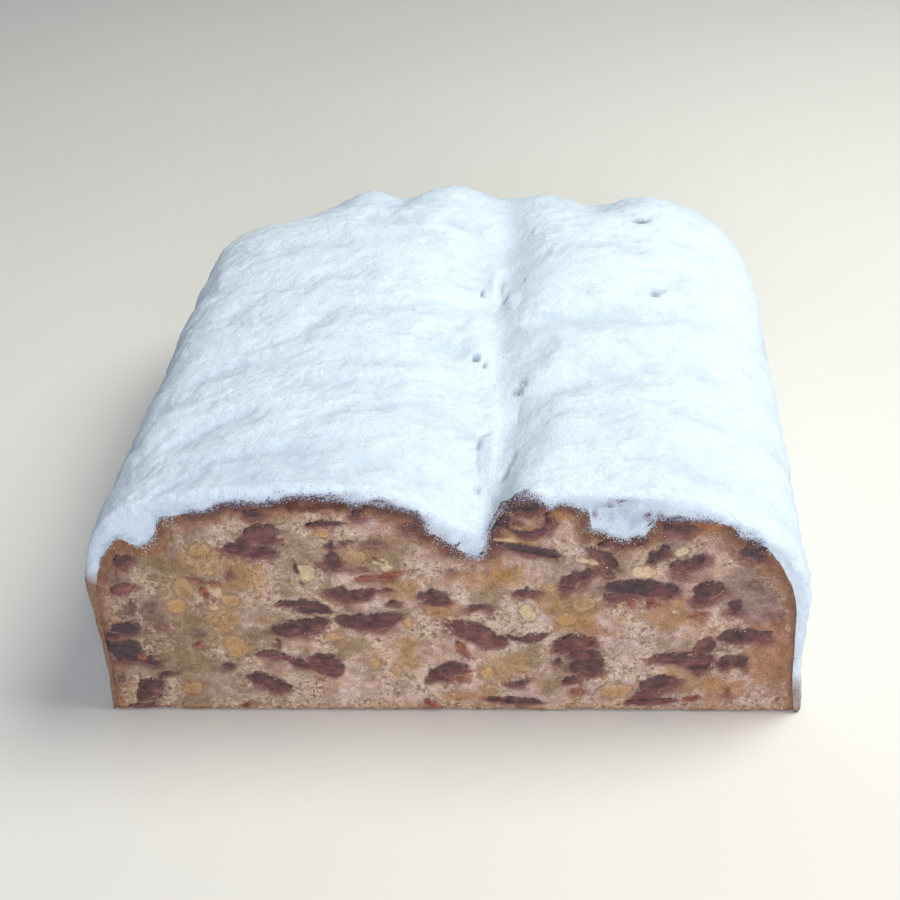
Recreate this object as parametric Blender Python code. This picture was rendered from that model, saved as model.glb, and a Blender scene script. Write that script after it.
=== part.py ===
"""A cut stollen: fruited bread, the fruit pieces that the knife has met, and a thick coat of sugar.

The loaf lies along Y with its cut face towards -Y and its base on z = 0. Sizes are in metres.
The bread and its coat start as a subdivided cube that is rounded into a loaf and given its relief.
"""

import math

import bmesh
import bpy
from mathutils import Matrix, Vector, noise

MM = 0.001
TINY = 1e-6

# The loaf, measured along its long axis from the knife cut.
STRAIGHT = 98 * MM  # length before the end starts to round off
END_SQUARENESS = 3.8  # superellipse exponent of the rounded end
BEND = 0.021  # sideways drift of the loaf for each metre of its length
WAIST_Z = 15 * MM  # the sides are drawn in a little round this height
WAIST_SPREAD = 14 * MM
FOOT_HEIGHT = 12 * MM
RELIEF_FROM, RELIEF_FULL = 0.25, 0.8  # shares of the height between which the top's relief comes in

CLEARANCE = 0.3 * MM  # gap between pieces that touch
OVERSHOOT = 6 * MM  # how far a cutter runs past the face that it opens

# The lengthwise furrow between the two lobes.
FURROW_X = 9.2 * MM
FURROW_SWAY = 0.9 * MM
FURROW_WAVE = 70 * MM
FURROW_FADE = 115 * MM  # it gets shallower from here to the rounded end
FURROW_FADED = 0.1  # the share of its depth that is left there

# Swellings and hollows of the top: x, y, height, spread in x, spread in y, in millimetres.
SHARED_SWELLINGS = [
    (34, 95, 1.8, 16, 15),  # rear, middle and front swelling of the right lobe
    (38, 57, 1.2, 17, 8),
    (34, 16, 0.6, 20, 12),
    (-31, 145, 2.2, 6, 10),  # knobs and dents along the rounded end
    (-22, 144, -2.6, 4.5, 10),
    (-6, 147, 3.0, 9, 10),
    (30, 145, -5.6, 9, 13),
    (45, 143, 0.4, 8, 10),
    (-52, 145, -5.0, 15, 16),
]

# Each side has its half width, the superellipse exponent of its shoulder, the depth of its waist and the
# spread of its foot. The furrow slopes gently on its left; its right side is a slope with a steep wall at the
# bottom.
BREAD = {
    "height": 54.0 * MM,
    "end": 67.3 * MM,
    "lift": 0.0,
    "left": {"half_width": 72.0 * MM, "squareness": 5.2, "waist": 0.8 * MM, "foot": 0.6 * MM},
    "right": {"half_width": 72.0 * MM, "squareness": 4.2, "waist": 0.8 * MM, "foot": 0.6 * MM},
    "furrow": {"depth": 12.8 * MM, "left": 10.5 * MM, "right": 4.6 * MM, "wall": 1.6 * MM, "wall_share": 0.55},
    "swellings": SHARED_SWELLINGS + [(-26, 20, 2.3, 12, 60), (48, 4, -1.6, 7, 16)],
}
COAT = {
    "height": 57.0 * MM,
    "end": 70.0 * MM,
    "lift": 0.4 * MM,  # the sugar stops just short of the table
    "left": {"half_width": 73.7 * MM, "squareness": 6.0, "waist": 1.2 * MM, "foot": 0.0},
    "right": {"half_width": 75.2 * MM, "squareness": 4.5, "waist": 2.1 * MM, "foot": -0.5 * MM},
    "furrow": {"depth": 7.9 * MM, "left": 12.0 * MM, "right": 4.8 * MM, "wall": 1.6 * MM, "wall_share": 0.0},
    "swellings": SHARED_SWELLINGS + [(-25, 55, 1.6, 24, 90), (4, 62, 1.6, 4.5, 9), (64, 0, -2.6, 9, 14)],
}
BREAD_CELLS = (38, 8, 6)  # columns, rows along the loaf, and rows up its sides
COAT_CELLS = (42, 19, 6)
COLUMN_CROWDING = 1.8  # the columns are denser round the furrow
COLUMN_CROWD_WIDTH = 0.10
ROW_CROWDING = 1.4  # the rows up the sides are denser near the shoulders

# Creases that run outwards from the furrow across the coat's right lobe, in millimetres. The rear one swings
# backwards with the cube of its run, and the front one levels off after its climb. Each deepens between the two
# runs of its start and dies out between the two of its end.
REAR_CREASE = {
    "x": 17, "y": 68, "depth": 2.0, "width": 3.8, "swing": 0.00047, "start": (-5, 3), "end": (35, 45),
}
FRONT_CREASE = {
    "x": 13, "y": 34, "depth": 1.1, "width": 4.0, "climb": 16, "ease": 14, "start": (-3, 4), "end": (19, 39),
}

# Hollows in the crust that sugar has filled: a fold at the left shoulder and a burst on the right lobe.
FOLD = {"at": (-60.2, 3, 51.5), "radii": (4.8, 24, 6.6)}
BURST = {"at": (36.9, 0, 51.8), "radii": (9.6, 9, 6.2)}

# Fruit at the cut: x, z, half length, half thickness, tilt in degrees, rise of the tips, in millimetres.
RAISINS = [
    (-38.0, 43.2, 5.3, 1.9, -4, 0.2),
    (-35.2, 47.5, 3.6, 1.5, 8, 0.0),
    (-64.2, 40.6, 1.9, 1.6, 20, 0.0),
    (-65.4, 33.2, 2.6, 1.1, 22, 0.0),
    (-60.6, 27.0, 2.2, 2.7, 0, 0.0),
    (-66.4, 22.6, 3.6, 1.7, 8, 0.3),
    (-67.6, 16.2, 2.2, 2.9, 0, 0.0),
    (-62.2, 13.6, 2.2, 1.2, -20, 0.0),
    (-64.0, 5.8, 4.7, 2.1, 42, -0.6),
    (-29.5, 23.2, 6.3, 2.3, 14, 0.8),
    (-28.5, 28.9, 5.6, 0.9, -6, -0.6),
    (-36.0, 15.2, 4.3, 1.1, -12, -0.8),
    (-38.0, 7.8, 4.5, 1.9, -24, 0.0),
    (-25.2, 12.6, 3.8, 2.6, -38, 0.0),
    (-18.6, 32.1, 5.6, 1.8, 1, 1.3),
    (-21.4, 40.2, 2.2, 2.5, 0, 0.0),
    (-13.6, 36.0, 4.1, 1.1, 6, 0.0),
    (-15.2, 25.0, 7.0, 2.3, 5, 1.2),
    (-1.9, 31.4, 3.0, 1.4, 5, 0.3),
    (7.0, 28.4, 2.4, 1.1, 5, 0.0),
    (6.2, 21.7, 6.2, 2.2, -25, 0.0),
    (17.4, 20.4, 4.4, 0.9, 6, 1.3),
    (-0.6, 10.7, 4.8, 1.9, 32, -0.4),
    (14.8, 7.8, 2.7, 0.9, 14, 0.6),
    (26.8, 18.8, 4.5, 2.2, 6, 0.0),
    (29.4, 12.2, 3.7, 2.8, -8, 0.0),
    (14.0, 2.8, 6.0, 0.9, -4, 0.0),
    (17.6, 47.4, 4.2, 0.9, 0, 1.6),
    (18.6, 42.6, 5.8, 1.1, -13, 0.0),
    (32.2, 40.9, 4.3, 1.3, -38, 0.0),
    (27.4, 35.8, 4.0, 1.6, 22, 0.0),
    (39.6, 33.2, 7.4, 2.1, -3, 0.4),
    (43.6, 41.4, 2.4, 1.3, 30, 0.0),
    (49.8, 39.6, 3.6, 1.7, 30, 0.0),
    (61.2, 41.6, 2.8, 1.7, -20, 0.0),
    (53.4, 32.2, 3.2, 2.5, 20, 0.0),
    (58.4, 27.8, 1.5, 2.1, 0, 0.0),
    (59.8, 20.6, 4.3, 1.8, 8, 0.5),
    (49.4, 14.4, 7.0, 1.6, -3, 0.0),
    (60.2, 13.4, 2.1, 1.9, 0, 0.0),
    (44.0, 7.6, 4.4, 2.0, 20, 0.0),
    (42.5, 2.6, 5.6, 0.9, 4, 0.0),
]
PEELS = [
    (-54.6, 28.6, 2.4, 2.0, 10, 0.0),
    (-44.0, 18.6, 2.4, 2.3, 0, 0.0),
    (-54.6, 6.2, 2.1, 2.0, 0, 0.0),
    (-22.6, 20.2, 2.6, 0.9, 4, 0.0),
    (-1.8, 27.9, 2.0, 1.2, 0, 0.0),
    (25.0, 25.0, 2.3, 2.0, 0, 0.0),
    (8.6, 10.4, 1.5, 2.0, 0, 0.0),
    (34.8, 5.4, 2.6, 1.8, 0, 0.0),
]
ALMONDS = [
    (-46.2, 33.0, 1.6, 1.5, 30, 0.0),
    (-27.2, 37.6, 2.4, 1.6, 0, 0.0),
    (-12.0, 40.0, 2.0, 1.3, 0, 0.0),
    (17.0, 27.4, 1.6, 1.9, 0, 0.0),
    (39.6, 37.9, 2.2, 0.9, 5, 0.0),
]
FRUIT_DEPTH = 4.2 * MM  # how far a fruit piece reaches into the loaf behind the cut
FRUIT_UNEVENNESS = 0.12
FRUIT_LUMPS = 1.3  # lumps across one piece
NOISE_STEP = 7.7  # each piece reads its own stretch of the noise
LIFT_CENTRE = 0.4  # the bend raises the tips and lowers the middle by this share
FRUIT_SIDES, FRUIT_RINGS = 10, 4


def clear_scene():
    for old in list(bpy.data.objects):
        bpy.data.objects.remove(old)


def collection(name):
    made = bpy.data.collections.new(name)
    bpy.context.scene.collection.children.link(made)
    return made


def material(name, colour, roughness):
    made = bpy.data.materials.new(name)
    made.use_nodes = True
    shader = made.node_tree.nodes["Principled BSDF"]
    shader.inputs["Base Color"].default_value = (*colour, 1)
    shader.inputs["Roughness"].default_value = roughness
    shader.inputs["Metallic"].default_value = 0.0
    return made


def as_object(name, bm, home, finish=None):
    mesh = bpy.data.meshes.new(name)
    bm.to_mesh(mesh)
    bm.free()
    made = bpy.data.objects.new(name, mesh)
    home.objects.link(made)
    if finish:
        mesh.materials.append(finish)
    return made


def make_cutter(obj):
    obj.hide_render = True
    obj.display_type = "WIRE"
    return obj


def take_away(target, other):
    step = target.modifiers.new(other.name, "BOOLEAN")
    step.operation = "DIFFERENCE"
    step.solver = "EXACT"
    step.object = other


# ---- the loaf's form ----


def smooth_step(value, low, high):
    share = min(1.0, max(0.0, (value - low) / (high - low)))
    return share * share * (3 - 2 * share)


def bell(distance, spread):
    return math.exp(-((distance / spread) ** 2))


def furrow_depth(x, y, form):
    across = x - FURROW_X + FURROW_SWAY * math.cos(2 * math.pi * y / FURROW_WAVE)
    if across < 0:
        profile = bell(across, form["left"])
    else:
        slope = (1 - form["wall_share"]) * bell(across, form["right"])
        profile = slope + form["wall_share"] * bell(across, form["wall"])
    fade = 1 - (1 - FURROW_FADED) * smooth_step(y, FURROW_FADE, STRAIGHT + COAT["end"])
    return form["depth"] * fade * profile


def crease_depth(x, y):
    """Depth of the creases on the right lobe, in millimetres."""
    depth = 0.0
    for crease in (REAR_CREASE, FRONT_CREASE):
        run = x - crease["x"]
        if crease is REAR_CREASE:
            line = crease["y"] + crease["swing"] * max(run, 0.0) ** 3
        else:
            line = crease["y"] + crease["climb"] * (1 - math.exp(-max(run, 0.0) / crease["ease"]))
        share = smooth_step(run, *crease["start"]) * (1 - smooth_step(run, *crease["end"]))
        depth += crease["depth"] * share * bell(y - line, crease["width"])
    return depth


def relief(x, y, form):
    """Rise of the loaf's top above its plain rounded form."""
    x_mm, y_mm = x / MM, y / MM
    rise = -crease_depth(x_mm, y_mm) if form is COAT else 0.0
    for centre_x, centre_y, height, spread_x, spread_y in form["swellings"]:
        rise += height * bell(x_mm - centre_x, spread_x) * bell(y_mm - centre_y, spread_y)
    return rise * MM - furrow_depth(x, y, form["furrow"])


def loaf_point(a, b, c, form):
    """Moves a point of the box (a from -1 to 1, b and c from 0 to 1) onto the loaf."""
    straight_share = STRAIGHT / (STRAIGHT + form["end"])
    past = max(0.0, (b - straight_share) / (1 - straight_share))
    side = form["left"] if a < 0 else form["right"]
    power = side["squareness"]
    ring = (abs(a) ** power + c**power) ** (END_SQUARENESS / power)
    norm = (ring + past**END_SQUARENESS) ** (1 / END_SQUARENESS)
    scale = max(abs(a), c, past) / norm
    up = c * scale
    y = STRAIGHT * min(b / straight_share, 1.0) + past * scale * form["end"]
    z = form["lift"] + up * (form["height"] - form["lift"])
    foot = side["foot"] * max(0.0, 1 - z / FOOT_HEIGHT) ** 2
    x = a * scale * (side["half_width"] - side["waist"] * bell(z - WAIST_Z, WAIST_SPREAD) + foot)
    z += relief(x, y, form) * smooth_step(up, RELIEF_FROM, RELIEF_FULL)
    return Vector((x + BEND * y, y, z))


def column_places(count):
    """Places from -1 to 1 for the loaf's columns of points."""
    steps = 40 * count
    centre = FURROW_X / BREAD["right"]["half_width"]
    middles = [-1 + 2 * (i + 0.5) / steps for i in range(steps)]
    weights = [1 + COLUMN_CROWDING * bell(middle - centre, COLUMN_CROWD_WIDTH) for middle in middles]
    share, passed, places = sum(weights) / count, 0.0, [-1.0]
    for middle, weight in zip(middles, weights):
        passed += weight
        if passed >= share * len(places) - TINY:
            places.append(middle + 1 / steps)
    return places[:count] + [1.0]


def open_shell(cells, form):
    """The loaf's skin, open at the cut and at the base."""
    bm = bmesh.new()
    bmesh.ops.create_cube(bm, size=2)
    for axis, count in enumerate(cells):
        along = [e for e in bm.edges if abs((e.verts[0].co - e.verts[1].co)[axis]) > TINY]
        bmesh.ops.subdivide_edges(bm, edges=along, cuts=count - 1, use_grid_fill=True)
    openings = [f for f in bm.faces if min(f.calc_center_median()[1:]) < TINY - 1]
    bmesh.ops.delete(bm, geom=openings, context="FACES")
    places = column_places(cells[0])
    for v in bm.verts:
        a = places[round((v.co.x + 1) / 2 * cells[0])]
        c = 1 - ((1 - v.co.z) / 2) ** ROW_CROWDING
        v.co = loaf_point(a, (v.co.y + 1) / 2, c, form)
    bmesh.ops.recalc_face_normals(bm, faces=bm.faces)
    bmesh.ops.triangulate(bm, faces=bm.faces, quad_method="FIXED")
    return bm


def close_openings(bm):
    """Fills the cut and the base, which share the straight edge at the foot of the cut."""
    rim = [v for v in bm.verts if v.is_boundary]
    low = [min(v.co[axis] for v in rim) + TINY for axis in range(3)]
    corners = [v for v in rim if v.co.y < low[1] and v.co.z < low[2]]
    bm.edges.new(corners)
    for axis in (1, 2):
        open_edges = [e for e in bm.edges if len(e.link_faces) < 2]
        around = [e for e in open_edges if max(v.co[axis] for v in e.verts) < low[axis]]
        bmesh.ops.edgeloop_fill(bm, edges=around)
    bmesh.ops.recalc_face_normals(bm, faces=bm.faces)


def loaf(cells, form):
    bm = open_shell(cells, form)
    close_openings(bm)
    return bm


def bread_room():
    """The space that the bread needs in its coat: its skin moved out, and carried past cut and base."""
    bm = open_shell(BREAD_CELLS, BREAD)
    bm.normal_update()
    moves = []
    for v in bm.verts:
        out = v.normal.copy()
        if v.co.y < TINY:
            out.y = 0
        if v.co.z < TINY:
            out.z = 0
        moves.append((v, out.normalized() * CLEARANCE * v.calc_shell_factor()))
    for v, move in moves:
        v.co += move
    for axis, way in ((1, (0, -1, 0)), (2, (0, 0, -1))):
        rim = [e for e in bm.edges if e.is_boundary and max(v.co[axis] for v in e.verts) < TINY]
        pulled = bmesh.ops.extrude_edge_only(bm, edges=rim)["geom"]
        moved = [item for item in pulled if isinstance(item, bmesh.types.BMVert)]
        bmesh.ops.translate(bm, verts=moved, vec=Vector(way) * OVERSHOOT)
    close_openings(bm)
    return bm


def hollow(name, spec, shrink, home):
    """An ellipsoid that stands for a hollow in the crust."""
    bm = bmesh.new()
    bmesh.ops.create_uvsphere(bm, u_segments=12, v_segments=8, radius=1)
    radii = [r * MM - shrink for r in spec["radii"]]
    place = Matrix.Translation([v * MM for v in spec["at"]]) @ Matrix.Diagonal((*radii, 1))
    bmesh.ops.transform(bm, matrix=place, verts=bm.verts)
    return make_cutter(as_object(name, bm, home))


# ---- the fruit ----


def fruit(spec, grow, seed):
    """A flattened, slightly uneven and bent body round a point of the cut plane."""
    x, z, half_length, half_thickness, tilt, rise = spec
    bm = bmesh.new()
    bmesh.ops.create_uvsphere(bm, u_segments=FRUIT_SIDES, v_segments=FRUIT_RINGS, radius=1)
    bmesh.ops.rotate(bm, verts=bm.verts, cent=(0, 0, 0), matrix=Matrix.Rotation(math.pi / 2, 3, "X"))
    for v in bm.verts:
        uneven = 1 + FRUIT_UNEVENNESS * noise.noise(v.co * FRUIT_LUMPS + Vector((seed * NOISE_STEP, 0, 0)))
        lift = rise * MM * (v.co.x**2 - LIFT_CENTRE)
        v.co.x *= half_length * MM * uneven + grow
        v.co.y *= FRUIT_DEPTH + grow
        v.co.z = v.co.z * (half_thickness * MM * uneven + grow) + lift
    turn = Matrix.Rotation(-math.radians(tilt), 4, "Y")
    bmesh.ops.transform(bm, matrix=Matrix.Translation((x * MM, 0, z * MM)) @ turn, verts=bm.verts)
    bmesh.ops.recalc_face_normals(bm, faces=bm.faces)
    return bm


def cut_flush(bm):
    """Takes away what the knife took: everything in front of the cut."""
    geometry = bm.verts[:] + bm.edges[:] + bm.faces[:]
    bmesh.ops.bisect_plane(bm, geom=geometry, plane_co=(0, 0, 0), plane_no=(0, -1, 0), clear_outer=True)
    bmesh.ops.holes_fill(bm, edges=[e for e in bm.edges if e.is_boundary], sides=0)
    bmesh.ops.recalc_face_normals(bm, faces=bm.faces)


def add_fruit(parts, cutters, finishes):
    """Every fruit piece as its own object, and the pockets that the bread leaves for them."""
    pockets = bmesh.new()
    seed = 0
    for kind, rows in (("raisin", RAISINS), ("peel", PEELS), ("almond", ALMONDS)):
        for number, spec in enumerate(rows, 1):
            seed += 1
            body = fruit(spec, 0.0, seed)
            cut_flush(body)
            as_object(f"{kind}_{number:02d}", body, parts, finishes[kind])
            room = fruit(spec, CLEARANCE, seed)
            held = bpy.data.meshes.new("room")
            room.to_mesh(held)
            room.free()
            pockets.from_mesh(held)
            bpy.data.meshes.remove(held)
    return make_cutter(as_object("fruit_pockets", pockets, cutters))


# ---- assembly ----


def build():
    clear_scene()
    parts, cutters = collection("stollen"), collection("cutters")
    finishes = {
        "bread": material("bread", (0.55, 0.38, 0.23), 0.8),
        "coat": material("sugar", (0.88, 0.91, 0.94), 0.95),
        "raisin": material("raisin", (0.10, 0.045, 0.045), 0.45),
        "peel": material("candied_peel", (0.52, 0.29, 0.08), 0.35),
        "almond": material("almond", (0.68, 0.56, 0.34), 0.6),
    }
    bread = as_object("bread", loaf(BREAD_CELLS, BREAD), parts, finishes["bread"])
    take_away(bread, hollow("fold", FOLD, 0.0, cutters))
    take_away(bread, hollow("burst", BURST, 0.0, cutters))
    take_away(bread, add_fruit(parts, cutters, finishes))

    room = make_cutter(as_object("bread_room", bread_room(), cutters))
    take_away(room, hollow("fold_sugar", FOLD, CLEARANCE, cutters))
    take_away(room, hollow("burst_sugar", BURST, CLEARANCE, cutters))
    coat = as_object("sugar_coat", loaf(COAT_CELLS, COAT), parts, finishes["coat"])
    take_away(coat, room)
    return coat


def centre_on_base(coat):
    """Puts the origin under the middle of the coat's box, which is the loaf's box."""
    points = [v.co for v in coat.data.vertices]
    middle = [(min(p[i] for p in points) + max(p[i] for p in points)) / 2 for i in range(2)]
    for obj in bpy.data.objects:
        obj.data.transform(Matrix.Translation((-middle[0], -middle[1], 0)))


centre_on_base(build())
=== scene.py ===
"""Looks of the cut stollen: crumb, crust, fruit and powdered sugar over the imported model.

Shapes are worked out in millimetres in the cut's own frame (x to the right, y into the loaf from the cut,
z up from the base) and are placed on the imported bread, in metres, at the end.
"""
import itertools
import math

import bmesh
import bpy
import numpy as np
from mathutils import Euler, Matrix, Vector
from mathutils.kdtree import KDTree


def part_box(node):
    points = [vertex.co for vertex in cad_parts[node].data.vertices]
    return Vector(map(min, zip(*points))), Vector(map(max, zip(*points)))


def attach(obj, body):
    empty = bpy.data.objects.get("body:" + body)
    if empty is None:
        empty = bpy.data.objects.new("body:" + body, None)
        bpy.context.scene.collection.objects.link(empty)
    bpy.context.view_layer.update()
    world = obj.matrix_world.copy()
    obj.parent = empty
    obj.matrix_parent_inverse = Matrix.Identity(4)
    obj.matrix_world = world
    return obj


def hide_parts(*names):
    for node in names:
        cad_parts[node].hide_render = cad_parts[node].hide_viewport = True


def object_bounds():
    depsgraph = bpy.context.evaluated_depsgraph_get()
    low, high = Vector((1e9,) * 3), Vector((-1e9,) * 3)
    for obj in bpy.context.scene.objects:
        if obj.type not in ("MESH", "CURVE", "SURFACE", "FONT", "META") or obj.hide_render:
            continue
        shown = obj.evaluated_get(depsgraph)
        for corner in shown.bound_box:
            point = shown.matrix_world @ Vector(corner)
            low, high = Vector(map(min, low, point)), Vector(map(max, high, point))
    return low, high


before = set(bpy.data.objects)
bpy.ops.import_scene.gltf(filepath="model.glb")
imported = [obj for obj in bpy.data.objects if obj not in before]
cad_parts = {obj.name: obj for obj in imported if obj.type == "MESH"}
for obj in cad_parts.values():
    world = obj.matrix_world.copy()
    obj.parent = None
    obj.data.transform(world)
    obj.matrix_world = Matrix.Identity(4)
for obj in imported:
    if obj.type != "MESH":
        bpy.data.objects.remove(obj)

MM = 0.001
CAD_BOX = [list(corner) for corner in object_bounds()]

# ---- the loaf's form, as in the part's source ----

STRAIGHT = 98.0
END_SQUARENESS = 3.8
BEND = 0.021
WAIST_Z, WAIST_SPREAD = 15.0, 14.0
FOOT_HEIGHT = 12.0
RELIEF_FROM, RELIEF_FULL = 0.25, 0.8
FURROW_X, FURROW_SWAY, FURROW_WAVE = 9.2, 0.9, 70.0
FURROW_FADE, FURROW_FADED = 115.0, 0.1
FRONT_DIP = 2.4  # the sugar in the furrow falls away towards the cut
FURROW_DRIFT, DRIFT_FROM, DRIFT_TO = 2.4, 25.0, 80.0  # it leans back towards the left further in

SHARED_SWELLINGS = [
    (34, 95, 1.8, 16, 15), (38, 57, 1.2, 17, 8), (34, 16, 0.6, 20, 12), (-31, 145, 2.2, 6, 10),
    (-22, 144, -2.6, 4.5, 10), (-6, 147, 3, 9, 10), (30, 145, -5.6, 9, 13), (45, 143, 0.4, 8, 10),
    (-52, 145, -5, 15, 16),
]
BREAD = {
    "height": 54.0,
    "end": 67.3,
    "lift": 0.0,
    "left": {"half_width": 72.0, "squareness": 5.2, "waist": 0.8, "foot": 0.6},
    "right": {"half_width": 72.0, "squareness": 4.2, "waist": 0.8, "foot": 0.6},
    "furrow": {"depth": 12.8, "left": 10.5, "right": 4.6, "wall": 1.6, "wall_share": 0.55},
    "swellings": SHARED_SWELLINGS + [(-26, 20, 2.3, 12, 60), (48, 4, -1.6, 7, 16)],
}
COAT = {
    "height": 57.0,
    "end": 70.0,
    "lift": 0.4,
    "left": {"half_width": 73.7, "squareness": 6.0, "waist": 1.2, "foot": 0.0},
    "right": {"half_width": 75.2, "squareness": 4.5, "waist": 2.1, "foot": -0.5},
    "furrow": {"depth": 7.9, "left": 12.0, "right": 4.8, "wall": 1.6, "wall_share": 0.0},
    "swellings": SHARED_SWELLINGS + [(-25, 55, 1.6, 24, 90), (4, 62, 1.6, 4.5, 9), (64, 0, -2.6, 9, 14)],
}
REAR_CREASE = {
    "x": 17, "y": 70, "depth": 1.3, "width": 5.6, "swing": 0.00012, "start": (-5, 3), "end": (26, 42),
}
FRONT_CREASE = {
    "x": 13, "y": 34, "depth": 1.0, "width": 5.0, "climb": 16, "ease": 14,
    "start": (-3, 4), "end": (19, 39),
}
HOLLOWS = {
    "fold": {"at": (-60.2, 3.0, 51.5), "radii": (4.8, 24.0, 6.6)},
    "burst": {"at": (36.0, 0.0, 51.6), "radii": (6.6, 9.0, 6.2)},
}


def ramp(value, low, high):
    share = np.clip((value - low) / (high - low), 0.0, 1.0)
    return share * share * (3 - 2 * share)


def fall(value, low, high):
    return 1 - ramp(value, low, high)


def bell(distance, spread):
    return np.exp(-((distance / spread) ** 2))


def furrow_line(y):
    drift = FURROW_DRIFT * ramp(y, DRIFT_FROM, DRIFT_TO)
    return FURROW_X - drift - FURROW_SWAY * np.cos(2 * np.pi * y / FURROW_WAVE)


def furrow_depth(x, y, form):
    across = x - furrow_line(y)
    open_share = ramp(y, -6, 24) * (form is COAT["furrow"])
    slope = (1 - form["wall_share"]) * bell(across, form["right"] + 3.4 * open_share)
    slope = slope + form["wall_share"] * bell(across, form["wall"])
    profile = np.where(across < 0, bell(across, form["left"]), slope)
    if form is COAT["furrow"]:
        profile = profile + FRONT_DIP / form["depth"] * fall(y, 0, 11) * bell(across, 5.5)
    fade = 1 - (1 - FURROW_FADED) * ramp(y, FURROW_FADE, STRAIGHT + COAT["end"])
    return (form["depth"] - 2.0 * open_share) * fade * profile


def crease_depth(x, y):
    depth = 0.0
    for crease in (REAR_CREASE, FRONT_CREASE):
        run = x - crease["x"]
        forward = np.maximum(run, 0.0)
        if crease is REAR_CREASE:
            line = crease["y"] + crease["swing"] * forward**3
        else:
            line = crease["y"] + crease["climb"] * (1 - np.exp(-forward / crease["ease"]))
        share = ramp(run, *crease["start"]) * fall(run, *crease["end"])
        depth = depth + crease["depth"] * share * bell(y - line, crease["width"])
    return depth


def relief(x, y, form):
    rise = -crease_depth(x, y) if form is COAT else np.zeros_like(x)
    for centre_x, centre_y, height, spread_x, spread_y in form["swellings"]:
        rise = rise + height * bell(x - centre_x, spread_x) * bell(y - centre_y, spread_y)
    return rise - furrow_depth(x, y, form["furrow"])


def loaf(a, b, c, form):
    """Points of the box (a from -1 to 1, b and c from 0 to 1) moved onto the loaf, in millimetres."""
    a, b, c = np.broadcast_arrays(np.asarray(a, float), np.asarray(b, float), np.asarray(c, float))
    straight_share = STRAIGHT / (STRAIGHT + form["end"])
    past = np.maximum(0.0, (b - straight_share) / (1 - straight_share))
    side = {key: np.where(a < 0, form["left"][key], form["right"][key]) for key in form["left"]}
    power = side["squareness"]
    ring = (np.abs(a) ** power + c**power) ** (END_SQUARENESS / power)
    norm = (ring + past**END_SQUARENESS) ** (1 / END_SQUARENESS)
    scale = np.maximum(np.maximum(np.abs(a), c), past) / np.maximum(norm, 1e-9)
    up = c * scale
    y = STRAIGHT * np.minimum(b / straight_share, 1.0) + past * scale * form["end"]
    z = form["lift"] + up * (form["height"] - form["lift"])
    foot = side["foot"] * np.maximum(0.0, 1 - z / FOOT_HEIGHT) ** 2
    x = a * scale * (side["half_width"] - side["waist"] * bell(z - WAIST_Z, WAIST_SPREAD) + foot)
    z = z + relief(x, y, form) * ramp(up, RELIEF_FROM, RELIEF_FULL)
    return np.stack([x + BEND * y, y, z], axis=-1)


LOW_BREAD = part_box("bread")[0]
SHIFT = np.array([LOW_BREAD.x, LOW_BREAD.y, 0.0]) / MM - np.array([loaf(-1, 0, 0, BREAD)[0], 0.0, 0.0])


def placed(points):
    """From the cut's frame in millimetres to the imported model's frame in metres."""
    return (points + SHIFT) * MM


# ---- noise ----


def lattice(cell, seed):
    """A fixed random number from 0 to 1 for each whole-numbered place."""
    x, y, z = (cell[..., i].astype(np.int64).astype(np.uint64) for i in range(3))
    mixed = x * np.uint64(374761393) + y * np.uint64(668265263) + z * np.uint64(1440662683)
    mixed = (mixed + np.uint64(seed * 1274126177)) & np.uint64(0xFFFFFFFF)
    mixed = ((mixed ^ (mixed >> np.uint64(13))) * np.uint64(1103515245)) & np.uint64(0xFFFFFFFF)
    mixed = ((mixed ^ (mixed >> np.uint64(16))) * np.uint64(2246822519)) & np.uint64(0xFFFFFFFF)
    return ((mixed ^ (mixed >> np.uint64(15))) & np.uint64(0xFFFFFF)).astype(float) / 0xFFFFFF


def noise(points, size, seed=0):
    """Smooth noise from -1 to 1 with lumps of the given size (one number, or one for each axis)."""
    scaled = points / size
    cell = np.floor(scaled)
    part = scaled - cell
    part = part * part * part * (part * (part * 6 - 15) + 10)
    total = np.zeros(points.shape[:-1])
    for corner in itertools.product((0, 1), repeat=3):
        weight = np.prod(np.where(corner, part, 1 - part), axis=-1)
        total += weight * lattice(cell + corner, seed)
    return total * 2 - 1


def layered(points, size, seed=0, layers=3, gain=0.5):
    total, share, size = 0.0, 1.0, np.asarray(size, float)
    for layer in range(layers):
        total = total + share * noise(points, size, seed + 17 * layer)
        share *= gain
        size = size / 2.03
    return total


def cells(points, size, seed=0):
    """Distance to the nearest of scattered centres, and that one's random number."""
    scaled = points / size
    home = np.floor(scaled)
    near = np.full(points.shape[:-1], 9.0)
    label = np.zeros_like(near)
    for step in itertools.product((-1, 0, 1), repeat=3):
        cell = home + step
        centre = cell + np.stack([lattice(cell, seed + i) for i in range(3)], axis=-1)
        far = np.linalg.norm(scaled - centre, axis=-1)
        closer = far < near
        label = np.where(closer, lattice(cell, seed + 3), label)
        near = np.where(closer, far, near)
    return near, label


# ---- meshes ----


def grid_faces(index):
    """Quads of a grid of point numbers."""
    corners = [index[:-1, :-1], index[1:, :-1], index[1:, 1:], index[:-1, 1:]]
    return np.stack(corners, axis=-1).reshape(-1, 4)


def mesh_object(name, points, faces, material):
    mesh = bpy.data.meshes.new(name)
    mesh.from_pydata(placed(points).tolist(), [], [list(map(int, face)) for face in faces])
    mesh.validate()
    mesh.materials.append(material)
    mesh.shade_smooth()
    made = bpy.data.objects.new(name, mesh)
    bpy.context.scene.collection.objects.link(made)
    return made


def face_outwards(piece):
    bm = bmesh.new()
    bm.from_mesh(piece.data)
    bmesh.ops.recalc_face_normals(bm, faces=bm.faces)
    bm.to_mesh(piece.data)
    bm.free()


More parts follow.
